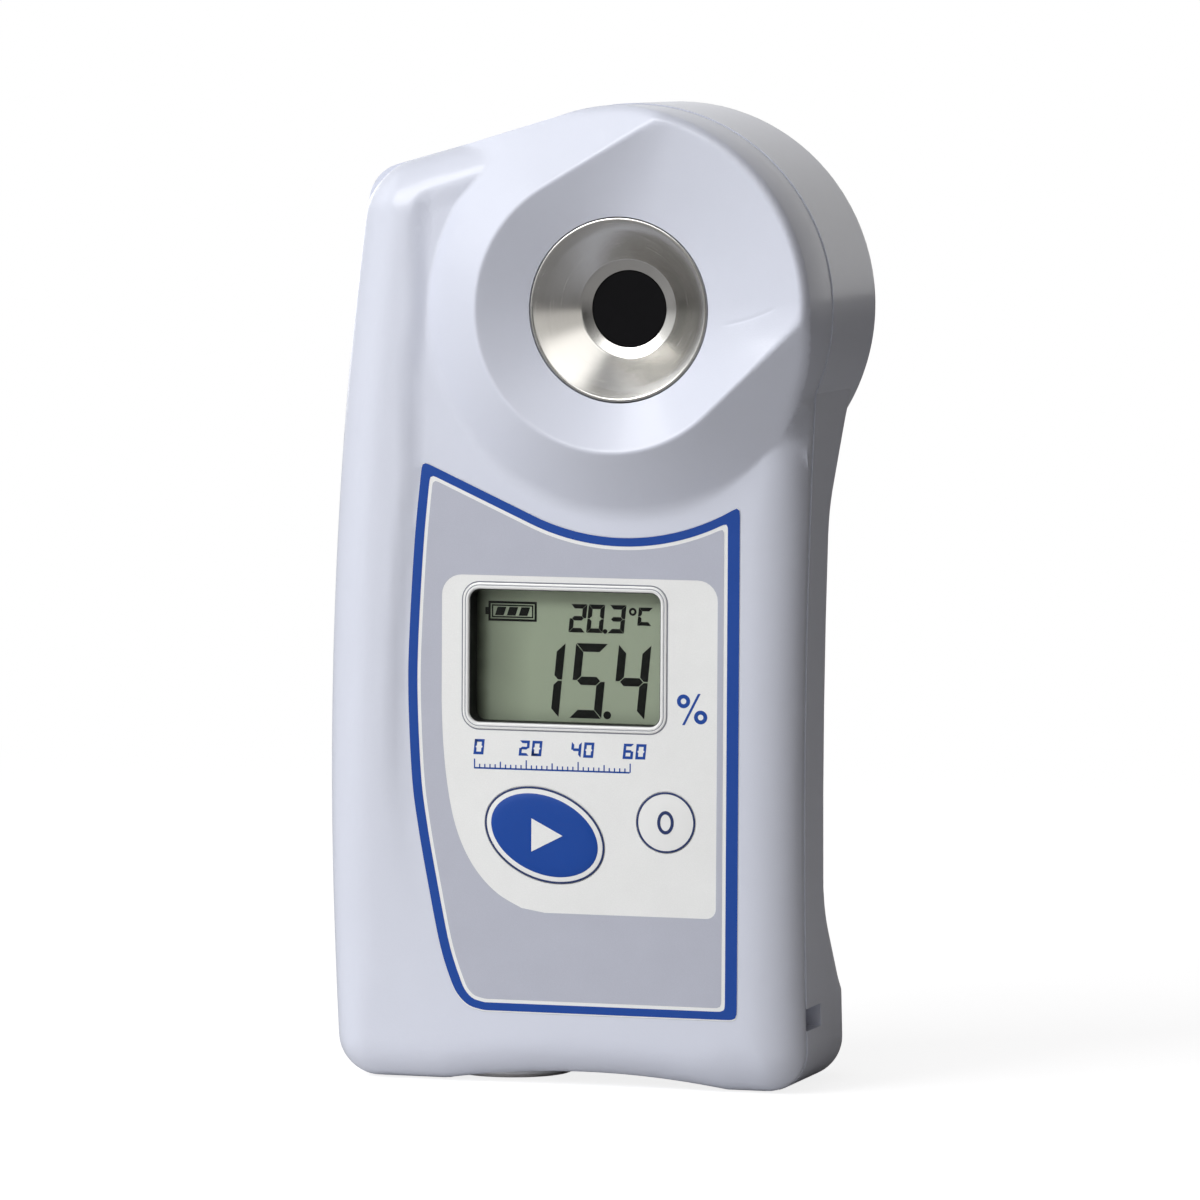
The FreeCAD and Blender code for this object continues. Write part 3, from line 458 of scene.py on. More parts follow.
def skin(name, loop_at, profile, base, finish, body="root", closed=False, replaces=()):
    """Skin over loops, one for each pair of a profile: a size for loop_at, and a height above base.

    The last loop joins the first if closed, or else both ends are filled.
    """
    rings = [[(x, -base - h, z) for x, z in loop_at(size)] for size, h in profile]
    points = sum(rings, [])
    count, faces = len(rings[0]), []
    for k in range(len(rings) if closed else len(rings) - 1):
        step = (k + 1) % len(rings) * count - k * count
        faces += [(a, b, b + step, a + step) for a, b in loop_edges(k * count, count)]
    if not closed:
        faces.append(tuple(range(count)))
        faces.append(tuple(range(len(points) - count, len(points))))
    new_piece(name, points, faces, finish, body, replaces, 40.0)


def about(middle, radius, turns):
    """x and z at a radius and at turns, in radians, round a middle."""
    return middle[0] + radius * np.cos(turns), middle[1] + radius * np.sin(turns)


def arc(middle, radius, first, last, steps=8):
    """Points on an arc between two bearings in degrees."""
    return list(zip(*about(middle, radius, np.radians(np.linspace(first, last, steps)))))


def window_loop(grow):
    """The display window's outline with its round corners, grown by an amount."""
    x, z, width, height = WINDOW
    across, up = width / 2 - WINDOW_R, height / 2 - WINDOW_R
    points = []
    for side_x, side_z, first in ((1, 1, 0), (-1, 1, 90), (-1, -1, 180), (1, -1, 270)):
        middle = (x + side_x * across, z + side_z * up)
        points += arc(middle, WINDOW_R + grow, first, first + 90, 9)
    return points


def oval(shape, grow, steps):
    """Points round an oval of middle x and z, half of each axis, and tilt, grown by an amount."""
    x, z, a, b, tilt = shape
    points = []
    for k in range(steps):
        t = 2 * math.pi * k / steps
        u, v = (a + grow) * math.cos(t), (b + grow) * math.sin(t)
        across, up = u * math.cos(tilt) - v * math.sin(tilt), u * math.sin(tilt) + v * math.cos(tilt)
        points.append((x + across, z + up))
    return points


def circle(middle, radius, steps):
    return oval((*middle, radius, radius, 0.0), 0.0, steps)


def start_loop(grow):
    return oval(START, grow, 96)


def zero_loop(grow):
    return oval(ZERO, grow, 72)


# Case front as a height over x and z

def circle_through(a, b, c):
    """Centre and radius of the circle through three points."""
    rows = [[2 * (p[0] - a[0]), 2 * (p[1] - a[1])] for p in (b, c)]
    sums = [p[0] ** 2 + p[1] ** 2 - a[0] ** 2 - a[1] ** 2 for p in (b, c)]
    x, z = np.linalg.solve(rows, sums)
    return x, z, math.hypot(a[0] - x, a[1] - z)


RIGHT_ARC = circle_through(*RIGHT_LINE)
SHOULDER_R = HEAD_R - 0.05
SHOULDER_END = (HEAD_X - SHOULDER_R * math.sin(SHOULDER), HEAD_Z + SHOULDER_R * math.cos(SHOULDER))

# The film's left border, from its foot up
FILM_LEFT = [
    (-9.6, 8.15), (-11.3, 8.6), (-12.5, 9.6), (-13.4, 11.2), (-14.8, 15.4), (-16.3, 22.6), (-17.4, 28.5),
    (-18.15, 34.0), (-18.6, 42.6), (-18.55, 49.3), (-17.95, 60.4), (-17.1, 69.3),
]
FILM_LEFT_X, FILM_LEFT_Z = zip(*FILM_LEFT)


def smooth_step(x, low, high):
    t = np.clip((x - low) / (high - low), 0, 1)
    return t * t * (3 - 2 * t)


def soft_min(a, b, k):
    t = np.clip(0.5 + 0.5 * (b - a) / k, 0, 1)
    return b * (1 - t) + a * t - k * t * (1 - t)


def soft_max(a, b, k):
    return -soft_min(-a, -b, k)


def past_head_chord(x, z):
    """How far a point lies above the line between the two places where the body joins the head."""
    (ax, az), (bx, bz) = SHOULDER_END, RIGHT_LINE[2]
    length = math.hypot(bx - ax, bz - az)
    return ((z - az) * (bx - ax) - (x - ax) * (bz - az)) / length


def edge_distances(x, z):
    """Distances in from the body's left, bottom, right and shoulder lines."""
    left = SIDE_BOW - np.hypot(x - (LEFT_X + SIDE_BOW), z - WIDEST_Z)
    mid, half = (FOOT_LEFT + FOOT_RIGHT) / 2, (FOOT_RIGHT - FOOT_LEFT) / 2
    base = z - ARCH * np.clip(1 - ((x - mid) / half) ** 2, 0, 1)
    right = np.hypot(x - RIGHT_ARC[0], z - RIGHT_ARC[1]) - RIGHT_ARC[2]
    top = (x - SHOULDER_END[0]) * math.sin(SHOULDER) - (z - SHOULDER_END[1]) * math.cos(SHOULDER)
    return left, base, right, top


def in_from_edge(x, z):
    """Distance in from the body's outline, without the head, with its round corners."""
    sides = edge_distances(x, z)
    short = [np.clip(CORNER - d, 0, None) for d in sides]
    nearest = np.minimum.reduce(sides)
    rounded = CORNER - np.sqrt(sum(s * s for s in short))
    inside = np.where(nearest < CORNER, rounded, nearest)
    # The body ends a little above the line between its joins with the head.
    return np.minimum(inside, 2.0 - 4.0 * past_head_chord(x, z))


def from_head(x, z):
    """Distance and bearing, in radians, from the head's middle."""
    return np.hypot(x - HEAD_X, z - HEAD_Z), np.arctan2(z - HEAD_Z, x - HEAD_X)


def in_from_head(x, z):
    return HEAD_R - from_head(x, z)[0]


def in_from_case(x, z):
    return np.maximum(in_from_edge(x, z), in_from_head(x, z))


def ridge(x, z):
    """Raised band along the left side and the shoulder, with a soft step down to the label."""
    left, _, _, top = edge_distances(x, z)
    film = np.interp(z, FILM_LEFT_Z, FILM_LEFT_X) - LEFT_X - (z - WIDEST_Z) ** 2 / (2 * SIDE_BOW)
    # The band's foot follows the film's border, and tapers off beside the head.
    low = np.interp(z, (70.0, 86.0, 96.0), (10.0, 9.9, 8.6))
    foot = np.where(z < 70, film - 0.3, low)
    run = np.interp(z, (20.0, 45.0, 70.0, 78.0, 96.0), (4.5, 2.0, 1.5, 2.5, 2.1))
    side = (1 - smooth_step(left, foot - run, foot)) * smooth_step(z, 12.0, 44.0)
    shoulder = (1 - smooth_step(top, 2.8, 6.4)) * (1 - smooth_step(x, -10.0, 3.0))
    return RIDGE * (1 - (1 - side) * (1 - shoulder))


def body_height(x, z):
    """Label plane, the rounding at the body's edge, and the raised band on its left."""
    d = in_from_edge(x, z)
    # The rounding is wider at the left, and at the right below the head.
    wide = 4.3 + 1.9 * smooth_step(-x, 6.0, 17.0) * smooth_step(z, 2.0, 18.0)
    wide = wide + 1.9 * smooth_step(x, 14.0, 21.0) * (1 - smooth_step(z, 60.0, 72.0))
    t = np.clip(1 - d / wide, 0, 1)
    drop = ROUND_DEPTH * (1 - np.sqrt(np.clip(1 - t * t, 0, 1)))
    height = LABEL_H - drop + ridge(x, z) * smooth_step(d, 0.2, 5.2)
    return np.where(d > 0, height, -50.0)


def scoop_angle(bearing):
    """Angle between a bearing and the middle of the scoop."""
    return np.abs((bearing - SCOOP_TURN + math.pi) % (2 * math.pi) - math.pi)


def dish_edge(a):
    """The dish's radius at an angle from the middle of the scoop: wide, then straight flanks, then round."""
    flank = DISH_R / np.cos(np.clip(FLANK - a, 0, FLANK - SCOOP_HALF))
    return np.where(a <= SCOOP_HALF, SCOOP_R, np.where(a >= FLANK, DISH_R, flank))


def soft_rim(a):
    """The dish's edge with its two corners eased, for the smooth surface inside."""
    flank = DISH_R / np.cos(np.clip(FLANK - a, -0.6, 1.15))
    return soft_min(np.where(a < FLANK, flank, DISH_R), SCOOP_R, 2.6)


def crease_bearing(r):
    """Bearing of the crease in the dish at a distance from the head's middle."""
    return np.radians(-6.4 + 8.2 * (r - 12.5) / 6.1)


def crease(r, bearing):
    """Faint curved crease in the dish, low on its right side."""
    off = (bearing - crease_bearing(r)) * r
    fade = smooth_step(r, 11.8, 13.4) * (1 - smooth_step(r, 17.6, 19.0))
    return fade * np.exp(-(off / CREASE_HALF) ** 2)


def out_of_dish(x, z):
    """Distance out from the dish's edge, less than nothing inside it."""
    r, bearing = from_head(x, z)
    a = scoop_angle(bearing)
    flank = r * np.cos(FLANK - a) - DISH_R
    return np.where(a < FLANK, soft_max(flank, r - SCOOP_R, 0.5), r - DISH_R)


def boss_height(x, z):
    """The slope that falls away outside the dish's crest."""
    return CREST_H + BOSS_SLOPE * (CREST_LAND - out_of_dish(x, z))


def head_height(x, z):
    """The dish, its crest and the slope outside it, with a wall and a round edge where the head ends high."""
    r, bearing = from_head(x, z)
    # The dish runs on a little past its edge, so that the crest stays crisp.
    rim = soft_rim(scoop_angle(bearing)) + 0.3
    dish = DISH_FLOOR_H + (CREST_H - DISH_FLOOR_H) * (r - STAGE_HOLE_R) / (rim - STAGE_HOLE_R)
    dish -= CREASE_DEPTH * crease(r, bearing)
    edge_x, edge_z = about(HEAD, HEAD_R, bearing)
    slope = boss_height(np.where(r > HEAD_R, edge_x, x), np.where(r > HEAD_R, edge_z, z))
    wall = smooth_step(boss_height(edge_x, edge_z), LABEL_H + 0.1, LABEL_H + 1.6)
    t = np.clip(1 - (HEAD_R - r) / EDGE_ROUND, 0, 1)
    turned = 1.0 - np.sqrt(np.clip(1 - t * t, 0, 1))
    beyond = np.clip(r - HEAD_R, 0, None) * (BOSS_SLOPE + (WALL_SLOPE - BOSS_SLOPE) * wall)
    height = soft_min(soft_min(dish, CREST_H + 0.05, 0.12), slope, 0.16)
    return height - turned * wall - beyond


def case_height(x, z):
    """Height of the case front. The join of head and body is softest below the head on its left."""
    head, body = head_height(x, z), body_height(x, z)
    bearing = np.degrees(from_head(x, z)[1]) % 360
    soft = smooth_step(bearing, 165.0, 205.0) * (1 - smooth_step(bearing, 285.0, 312.0))
    return np.maximum(soft_max(head, body, 0.25 + 0.6 * soft), PART_H + 0.15)


def even(line, spacing):
    """A closed line resampled to even steps."""
    ring = np.vstack([line, line[:1]])
    steps = np.hypot(*np.diff(ring, axis=0).T)
    run = np.concatenate([[0], np.cumsum(steps)])
    count = max(int(run[-1] / spacing), 8)
    at = np.linspace(0, run[-1], count, endpoint=False)
    return np.stack([np.interp(at, run, ring[:, 0]), np.interp(at, run, ring[:, 1])], 1)


CASE_MIDDLE = (1.0, 62.0)


def case_outline(inset, spacing):
    """Even points at an inset from the case's edge, found along rays from the middle of the case."""
    turns = np.linspace(0, 2 * math.pi, 1440, endpoint=False)
    low, high = np.zeros_like(turns), np.full_like(turns, 90.0)
    for _ in range(40):
        mid = (low + high) / 2
        inner = in_from_case(*about(CASE_MIDDLE, mid, turns)) > inset
        low, high = np.where(inner, mid, low), np.where(inner, high, mid)
    return even(np.stack(about(CASE_MIDDLE, low, turns), 1), spacing)


# Printed film: its outline is three runs between three corners, each drawn in by its own amount

FILM_RIGHT_X, FILM_FOOT_Z = 19.6, 8.15
FILM_HEAD_R = HEAD_R + 2.55
FILM_STEP = 0.1


def spline(points, steps):
    """Smooth open line through points."""
    p = np.array([points[0]] + list(points) + [points[-1]], float)
    line = []
    for k in range(1, len(p) - 2):
        a, b, c, d = p[k - 1], p[k], p[k + 1], p[k + 2]
        bend, twist = 2 * a - 5 * b + 4 * c - d, 3 * b - a - 3 * c + d
        for t in np.linspace(0, 1, steps, endpoint=False):
            line.append(0.5 * (2 * b + (c - a) * t + bend * t * t + twist * t ** 3))
    line.append(p[-1])
    return np.array(line)


def film_runs():
    """The foot with the left side, the arc under the head, and the right side."""
    side = spline(FILM_LEFT, 10)
    foot = np.array([(FILM_RIGHT_X, FILM_FOOT_Z), (FILM_LEFT[0][0] + 0.2, FILM_FOOT_Z)])
    corner = np.array(FILM_LEFT[-1])
    reach, bearing = from_head(*corner)
    touch = bearing + math.acos(FILM_HEAD_R / reach)
    touch -= 2 * math.pi if touch > 0 else 0
    last = -math.acos((FILM_RIGHT_X - HEAD_X) / FILM_HEAD_R)
    head = np.stack(about(HEAD, FILM_HEAD_R, np.linspace(touch, last, 60)), 1)
    right = np.array([head[-1], (FILM_RIGHT_X, FILM_FOOT_Z)])
    return np.vstack([foot, side]), np.vstack([[corner], head]), right


def shifted(line, amount):
    """An open line moved to its right-hand side, its ends carried on straight."""
    step = np.gradient(line, axis=0)
    step /= np.hypot(*step.T)[:, None]
    moved = line + np.stack([step[:, 1], -step[:, 0]], 1) * np.reshape(amount, (-1, 1))
    first, last = moved[0] - step[0] * 4, moved[-1] + step[-1] * 4
    return np.vstack([[first], moved, [last]])


def cross(a, b):
    return a[0] * b[1] - a[1] * b[0]


def crossing(a, b):
    """Where line a last meets line b: the point, and the segment numbers on each."""
    for i in reversed(range(len(a) - 1)):
        for j in range(len(b) - 1):
            along_a, along_b, apart = a[i + 1] - a[i], b[j + 1] - b[j], b[j] - a[i]
            base = cross(along_a, along_b)
            if abs(base) < 1e-12:
                continue
            t, u = cross(apart, along_b) / base, cross(apart, along_a) / base
            if 0 <= t <= 1 and 0 <= u <= 1:
                return a[i] + along_a * t, i, j
    raise ValueError("the runs don't meet")


def film_loop(left=0.0, top=0.0, right=0.0, foot=0.0, radius=1.0):
    """Closed outline of the film drawn in by an amount for each side, its three corners rounded."""
    side, head, edge = film_runs()
    # Up the first 3 mm the foot's amount gives way to the left side's.
    up = np.clip((side[:, 1] - 8.3) / 3.0, 0, 1)
    runs = [shifted(side, foot + (left - foot) * up), shifted(head, top), shifted(edge, right)]
    corners = [crossing(runs[k], runs[(k + 1) % 3]) for k in range(3)]
    line = []
    for k in range(3):
        start, _, first = corners[k - 1]
        end, last, _ = corners[k]
        line += [start, *runs[k][first + 1:last + 1], end]
    line = even(np.array(line), FILM_STEP)
    # Each pass rounds the corners a little more.
    for _ in range(int((radius / FILM_STEP) ** 2 * 0.55)):
        softer = np.roll(line, 1, 0) * 0.25 + line * 0.5 + np.roll(line, -1, 0) * 0.25
        near = np.zeros(len(line), bool)
        for corner, _, _ in corners:
            near |= np.hypot(line[:, 0] - corner[0], line[:, 1] - corner[1]) < radius * 2.2
        line = np.where(near[:, None], softer, line)
    thin = [line[0]]
    for p in line[1:]:
        if math.hypot(*(p - thin[-1])) > 0.35:
            thin.append(p)
    return [tuple(p) for p in thin]


FILM_EDGE = film_loop()


def grown(loop, amount):
    """A closed counter-clockwise or clockwise loop moved outwards by a small amount."""
    p = np.array(loop)
    step = np.roll(p, -1, 0) - np.roll(p, 1, 0)
    step /= np.hypot(*step.T)[:, None]
    area = np.sum(p[:, 0] * np.roll(p[:, 1], -1) - p[:, 1] * np.roll(p[:, 0], -1))
    side = np.stack([step[:, 1], -step[:, 0]], 1) * (1 if area > 0 else -1)
    return p + side * amount


# Front shell: a net of points, close together where the case front bends

NET_CELL = 0.8
NET_GRID, GRID_FROM_HEAD = 0.85, 24.0
POCKET_DEPTH, POCKET_WALL = 0.3, 0.06
SEAM_GAP, SEAM_LIP, HOLE_WALL = 0.12, 0.9, 1.9
# Rows of points: distances in from the outline, radii at the head's edge, shares of the way from the stage's
# hole to the dish's edge, distances out from that edge, and distances across the crease
EDGE_ROWS = (0.04, 0.15, 0.33, 0.58, 0.9, 1.25, 1.7, 2.2, 2.8, 3.5, 4.3, 5.2)
HEAD_ROWS = (21.6, 21.9, 22.15, 22.35, 22.5, 22.6, 22.68, 22.8, 22.95, 23.1, 23.3, 23.6, 24.1, 24.8)
DISH_SHARES = (0.12, 0.25, 0.38, 0.5, 0.62, 0.74, 0.85, 0.93)
CREST_ROWS = (
    -0.45, -0.25, -0.1, 0.0, 0.1, 0.2, 0.3, 0.4, 0.5, 0.6, 0.7, 0.8, 0.95, 1.3, 2.1, 2.9, 3.8, 4.7, 5.6,
)
CREASE_ROWS = (-0.3, -0.18, -0.06, 0.06, 0.18, 0.5, 0.9, 1.4)


class Net:
    """Points over the case front, sorted into square cells so that near ones are found."""

    def __init__(self):
        self.points = []
        self.cells = {}

    def add(self, x, z):
        point = (float(x), float(z))
        self.points.append(point)
        self.cells.setdefault((int(x // NET_CELL), int(z // NET_CELL)), []).append(point)

    def add_loop(self, loop):
        """Add a closed loop's points and return its edges."""
        first = len(self.points)
        for x, z in loop:
            self.add(x, z)
        return loop_edges(first, len(loop))

    def add_clear(self, x, z, gap):
        """Add a point, unless another one is nearer than the gap."""
        column, row = int(x // NET_CELL), int(z // NET_CELL)
        for i in (-1, 0, 1):
            for j in (-1, 0, 1):
                for near_x, near_z in self.cells.get((column + i, row + j), ()):
                    if (near_x - x) ** 2 + (near_z - z) ** 2 < gap * gap:
                        return
        self.add(x, z)

    def add_edge(self, outline):
        """Rows inside the outline, where they keep their distance from it."""
        inward = grown(outline, -1.0) - outline
        for d in EDGE_ROWS:
            ring = outline + inward * d
            for (x, z), depth in zip(ring, in_from_case(*ring.T)):
                if abs(depth - d - SEAM_STEP) < 0.05 + 0.08 * d:
                    self.add_clear(x, z, min(0.3, d * 0.35 + 0.02))

    def add_crease(self):
        for r in np.arange(11.8, 19.1, 0.28):
            for off in CREASE_ROWS:
                self.add_clear(*about(HEAD, r, crease_bearing(r) + off / r), 0.08)

    def add_head_edge(self, turns):
        for r in HEAD_ROWS:
            xs, zs = about(HEAD, r, turns)
            for x, z, depth in zip(xs, zs, in_from_case(xs, zs)):
                if depth > 0.25:
                    self.add_clear(x, z, 0.07)

    def add_dish(self, turns):
        """Rings in the dish and on both sides of its crest, as far as the head's edge."""
        rim = dish_edge(scoop_angle(turns))
        for share in DISH_SHARES:
            for x, z in zip(*about(HEAD, STAGE_HOLE_R + (rim - STAGE_HOLE_R) * share, turns)):
                self.add_clear(x, z, 0.25)
        for out in CREST_ROWS:
            for x, z, r in zip(*about(HEAD, rim + out, turns), rim + out):
                if r < HEAD_R - 0.05:
                    self.add_clear(x, z, 0.11)

    def add_grid(self):
        """A plain grid over the body, clear of the head."""
        for x in np.arange(LEFT_X + 0.3, RIGHT_X - 0.2, NET_GRID):
            for z in np.arange(0.5, HEAD_Z + HEAD_R, NET_GRID):
                if in_from_case(x, z) > 0.6 and from_head(x, z)[0] > GRID_FROM_HEAD:
                    self.add_clear(x, z, 0.45)


def in_openings(x, z):
    """True over the openings for the stage, the keys and the window."""
    gone = from_head(x, z)[0] < STAGE_HOLE_R
    for key_x, key_z, a, b, tilt in (START, ZERO):
        u = (x - key_x) * math.cos(tilt) + (z - key_z) * math.sin(tilt)
        v = (z - key_z) * math.cos(tilt) - (x - key_x) * math.sin(tilt)
        gone |= (u / (a + KEY_ROOM)) ** 2 + (v / (b + KEY_ROOM)) ** 2 < 1
    across = np.clip(np.abs(x - WINDOW[0]) - (WINDOW[2] / 2 - WINDOW_R), 0, None)
    up = np.clip(np.abs(z - WINDOW[1]) - (WINDOW[3] / 2 - WINDOW_R), 0, None)
    return gone | (np.hypot(across, up) < WINDOW_R + WINDOW_ROOM)


def walls(copy, edges):
    """Add a wall to each edge and return the new points, which lie on the edges until they are moved."""
    new = bmesh.ops.extrude_edge_only(copy, edges=edges)["geom"]
    return [g for g in new if isinstance(g, bmesh.types.BMVert)]


def turn_edges(copy):
    """Turn the shell back at its openings and at the seam, where a lip then runs inwards."""
    rim = set()
    for v in walls(copy, [e for e in copy.edges if e.is_boundary]):
        if in_from_case(v.co.x / MM, v.co.z / MM) < SEAM_STEP + 0.3:
            v.co.y = -(PART_H + SEAM_GAP) * MM
            rim.add(v)
        else:
            v.co.y += HOLE_WALL * MM
    step = 0.05
    for v in walls(copy, [e for e in copy.edges if e.is_boundary and all(v in rim for v in e.verts)]):
        x, z = v.co.x / MM, v.co.z / MM
        across = float(in_from_case(x + step, z) - in_from_case(x - step, z)) / (2 * step)
        up = float(in_from_case(x, z + step) - in_from_case(x, z - step)) / (2 * step)
        size = max(math.hypot(across, up), 0.2)
        v.co.x += SEAM_LIP * across / size * MM
        v.co.z += SEAM_LIP * up / size * MM


def front_shell():
    """Case front: a fine net of triangles over its outline, set to the case height."""
    outline = case_outline(SEAM_STEP, 0.7)
    pocket = [grown(FILM_EDGE, side * POCKET_WALL / 2) for side in (1, -1)]
    holes = [window_loop(WINDOW_ROOM), start_loop(KEY_ROOM), zero_loop(KEY_ROOM)]
    net, edges = Net(), []
    for loop in (outline, *pocket, circle(HEAD, STAGE_HOLE_R, 160), *holes):
        edges += net.add_loop(loop)
    turns = np.linspace(0, 2 * math.pi, 300, endpoint=False)
    net.add_edge(outline)
    net.add_crease()
    net.add_head_edge(turns)
    net.add_dish(turns)
    net.add_grid()
    flat, _, faces, *_ = delaunay_2d_cdt(net.points, edges, [], 1, 1e-5)
    flat = np.array([tuple(p) for p in flat])
    faces = np.array([tuple(f) for f in faces])
    faces = faces[~in_openings(*flat[faces].mean(1).T)]
    x, z = flat.T
    height = np.where(within(FILM_EDGE, x, z), LABEL_H - POCKET_DEPTH, case_height(x, z))
    mesh, copy = opened("front_shell", zip(x, -height, z), faces.tolist())
    bmesh.ops.delete(copy, geom=[v for v in copy.verts if not v.link_faces], context="VERTS")
    turn_edges(copy)
    piece = finished(mesh, copy, case_plastic, 48.0)
    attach(piece, "root")
    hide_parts("front_case")


front_shell()


# Film: a white sheet with a blue border and a grey field round a white panel

# The sweep at the panel's lower left, from its foot up
PANEL_SWEEP = [
    (-3.4, 19.4), (-5.3, 19.85), (-8.0, 21.3), (-10.3, 23.5), (-12.0, 26.2), (-13.2, 29.4), (-14.0, 33.4),
    (-14.5, 38.0), (-14.7, 42.7), (-14.7, 46.0),
]
PANEL_TOP, PANEL_RIGHT, PANEL_FOOT = 56.75, 17.1, 19.4


def panel_loop():
    """White panel round the display and the keys."""
    left, wide, tight = PANEL_SWEEP[-1][0], 2.3, 1.1
    points = [tuple(p) for p in spline(PANEL_SWEEP[1:-1], 6)]
    points += arc((left + wide, PANEL_TOP - wide), wide, 180, 90)
    points += arc((PANEL_RIGHT - wide, PANEL_TOP - wide), wide, 90, 0)
    points += arc((PANEL_RIGHT - tight, PANEL_FOOT + tight), tight, 0, -90)
    return points + [(-2.6, PANEL_FOOT)]


FILM_H = LABEL_H + 0.03
INK_H = FILM_H + 0.018
film_shape = [FILM_EDGE, window_loop(0.78), start_loop(0.05), zero_loop(0.05)]
border_shape = [
    film_loop(left=0.04, top=0.03, right=0.03, foot=0.14),
    film_loop(left=1.12, top=0.97, right=1.4, foot=1.02, radius=0.8),
]
field_shape = [film_loop(left=1.5, top=1.36, right=1.82, foot=1.42, radius=0.7), panel_loop()]
flat_piece("film_base", [film_shape], FILM_H, LABEL_H - 0.38, film_white,
           replaces=("overlay_sheet",))
flat_piece("film_blue_border", [border_shape], INK_H, FILM_H - 0.05, film_blue)
flat_piece("film_grey_field", [field_shape], INK_H, FILM_H - 0.05, film_grey)


# Display bezel with its two fine lines

BEZEL = [
    (0.74, -1.1), (0.74, -0.02), (0.72, 0.1), (0.62, 0.15), (0.5, 0.16), (0.46, 0.1), (0.4, 0.1),
    (0.36, 0.17), (0.26, 0.2), (0.14, 0.18), (0.05, 0.1), (0.0, -0.04), (0.0, -1.1),
]


def window_band(name, outer, inner, front_h, back_h, finish):
    """A thin flat band round the window."""
    flat_piece(name, [[window_loop(outer), window_loop(inner)]], front_h, back_h, finish)


skin("window_bezel", window_loop, BEZEL, LABEL_H, bezel_white, closed=True,
     replaces=("display_bezel",))
window_band("bezel_outer_line", 0.87, 0.77, INK_H, FILM_H - 0.05, line_grey)
window_band("bezel_inner_line", 0.47, 0.39, LABEL_H + 0.115, LABEL_H + 0.05, line_grey)
window_band("window_liner", -0.01, -0.07, LABEL_H - 0.12, LCD_H + 0.02, black_plastic)


# Display digits: slanted seven-segment figures

SEGMENTS = {
    "0": "abcdef", "1": "bc", "2": "abged", "3": "abgcd", "4": "fgbc", "5": "afgcd", "6": "afgedc",
    "C": "afed",
}
SLANT = math.tan(math.radians(5.5))


def figure(sign, left, foot, width, height, thick, gap=0.07):
    """Segment outlines of one figure; left and foot are the middle of its outer strokes."""
    a, b, t = width / 2, height / 2, thick / 2
    bar = [(gap - a - t, b + t), (a + t - gap, b + t), (a - t, b - t), (t - a, b - t)]
    post = [(a + t, b + t - gap), (a + t, gap), (a, gap), (a - t, t + gap), (a - t, b - t - gap)]
    end, low = a - gap, a - gap - t
    belt = [(-end, 0.0), (-low, t), (low, t), (end, 0.0), (low, -t), (-low, -t)]
    # A shape, the clockwise order of its points, and the side and way up that it is mirrored to
    segments = {
        "a": (bar, "0123", 1, 1), "b": (post, "01234", 1, 1), "c": (post, "10432", 1, -1),
        "d": (bar, "3210", 1, -1), "e": (post, "12340", -1, -1), "f": (post, "04321", -1, 1),
        "g": (belt, "012345", 1, 1),
    }
    outlines = []
    for letter in SEGMENTS[sign]:
        shape, order, side, way = segments[letter]
        upright = [(left + a + side * x, b + way * z) for x, z in (shape[int(k)] for k in order)]
        outlines.append([(x + z * SLANT, foot + z) for x, z in upright])
    return outlines


def box_loop(x0, x1, z0, z1):
    return [(x0, z0), (x1, z0), (x1, z1), (x0, z1)]


def ring_shape(x, z, outer, inner, steps):
    return [circle((x, z), outer, steps), circle((x, z), inner, steps)]


def display_marks():
    """The reading, and above it the battery sign and the temperature with its unit."""
    shapes = []
    for sign, left, width in (("1", -4.95, 2.6), ("5", -0.2, 2.8), ("4", 4.75, 2.8)):
        shapes += figure(sign, left, 41.4, width, 7.4, 0.92)
    shapes.append(circle((3.72, 41.35), 0.44, 16))
    for sign, left in (("2", -0.55), ("0", 1.5), ("3", 3.95)):
        shapes += figure(sign, left, 50.7, 1.4, 2.65, 0.48, 0.03)
    shapes.append(circle((3.42, 50.65), 0.26, 12))
    shapes.append(ring_shape(6.6, 52.9, 0.44, 0.2, 20))
    shapes += figure("C", 7.35, 51.6, 1.2, 1.6, 0.4, 0.02)
    shapes.append([box_loop(-10.1, -4.5, 51.5, 53.7), box_loop(-9.85, -4.75, 51.75, 53.45)])
    shapes.append([box_loop(-9.7, -4.9, 51.88, 53.32), box_loop(-9.55, -5.05, 52.03, 53.17)])
    shapes.append(box_loop(-10.45, -10.1, 52.2, 53.0))
    for k in range(3):
        x = -9.35 + k * 1.38
        shapes.append([(x, 52.13), (x + 1.0, 52.13), (x + 1.32, 53.07), (x + 0.32, 53.07)])
    flat_piece("display_segments", shapes, LCD_H + 0.05, LCD_H + 0.02, segment_ink)


display_marks()


# Keys. A profile's pairs are how far the loop grows from the key's edge, and a height above KEY_H.

KEY_H = LABEL_H + 0.06
KEY_SIDE = [(0.0, -2.11), (0.0, -0.06), (-0.06, 0.0)]
START_CROWN = [(-0.4, 0.05), (-0.75, 0.08)]
START_FILL = [(-0.78, 0.0), (-0.78, 0.1), (-0.95, 0.15), (-1.6, 0.21), (-2.6, 0.25), (-4.4, 0.26)]
START_LINE = [(-0.02, -0.02), (-0.06, 0.045), (-0.24, 0.065), (-0.26, -0.02)]
ZERO_CROWN = [(-0.9, 0.07), (-2.0, 0.09)]
ZERO_LINE = [(-0.02, -0.02), (-0.06, 0.03), (-0.24, 0.045), (-0.26, -0.02)]

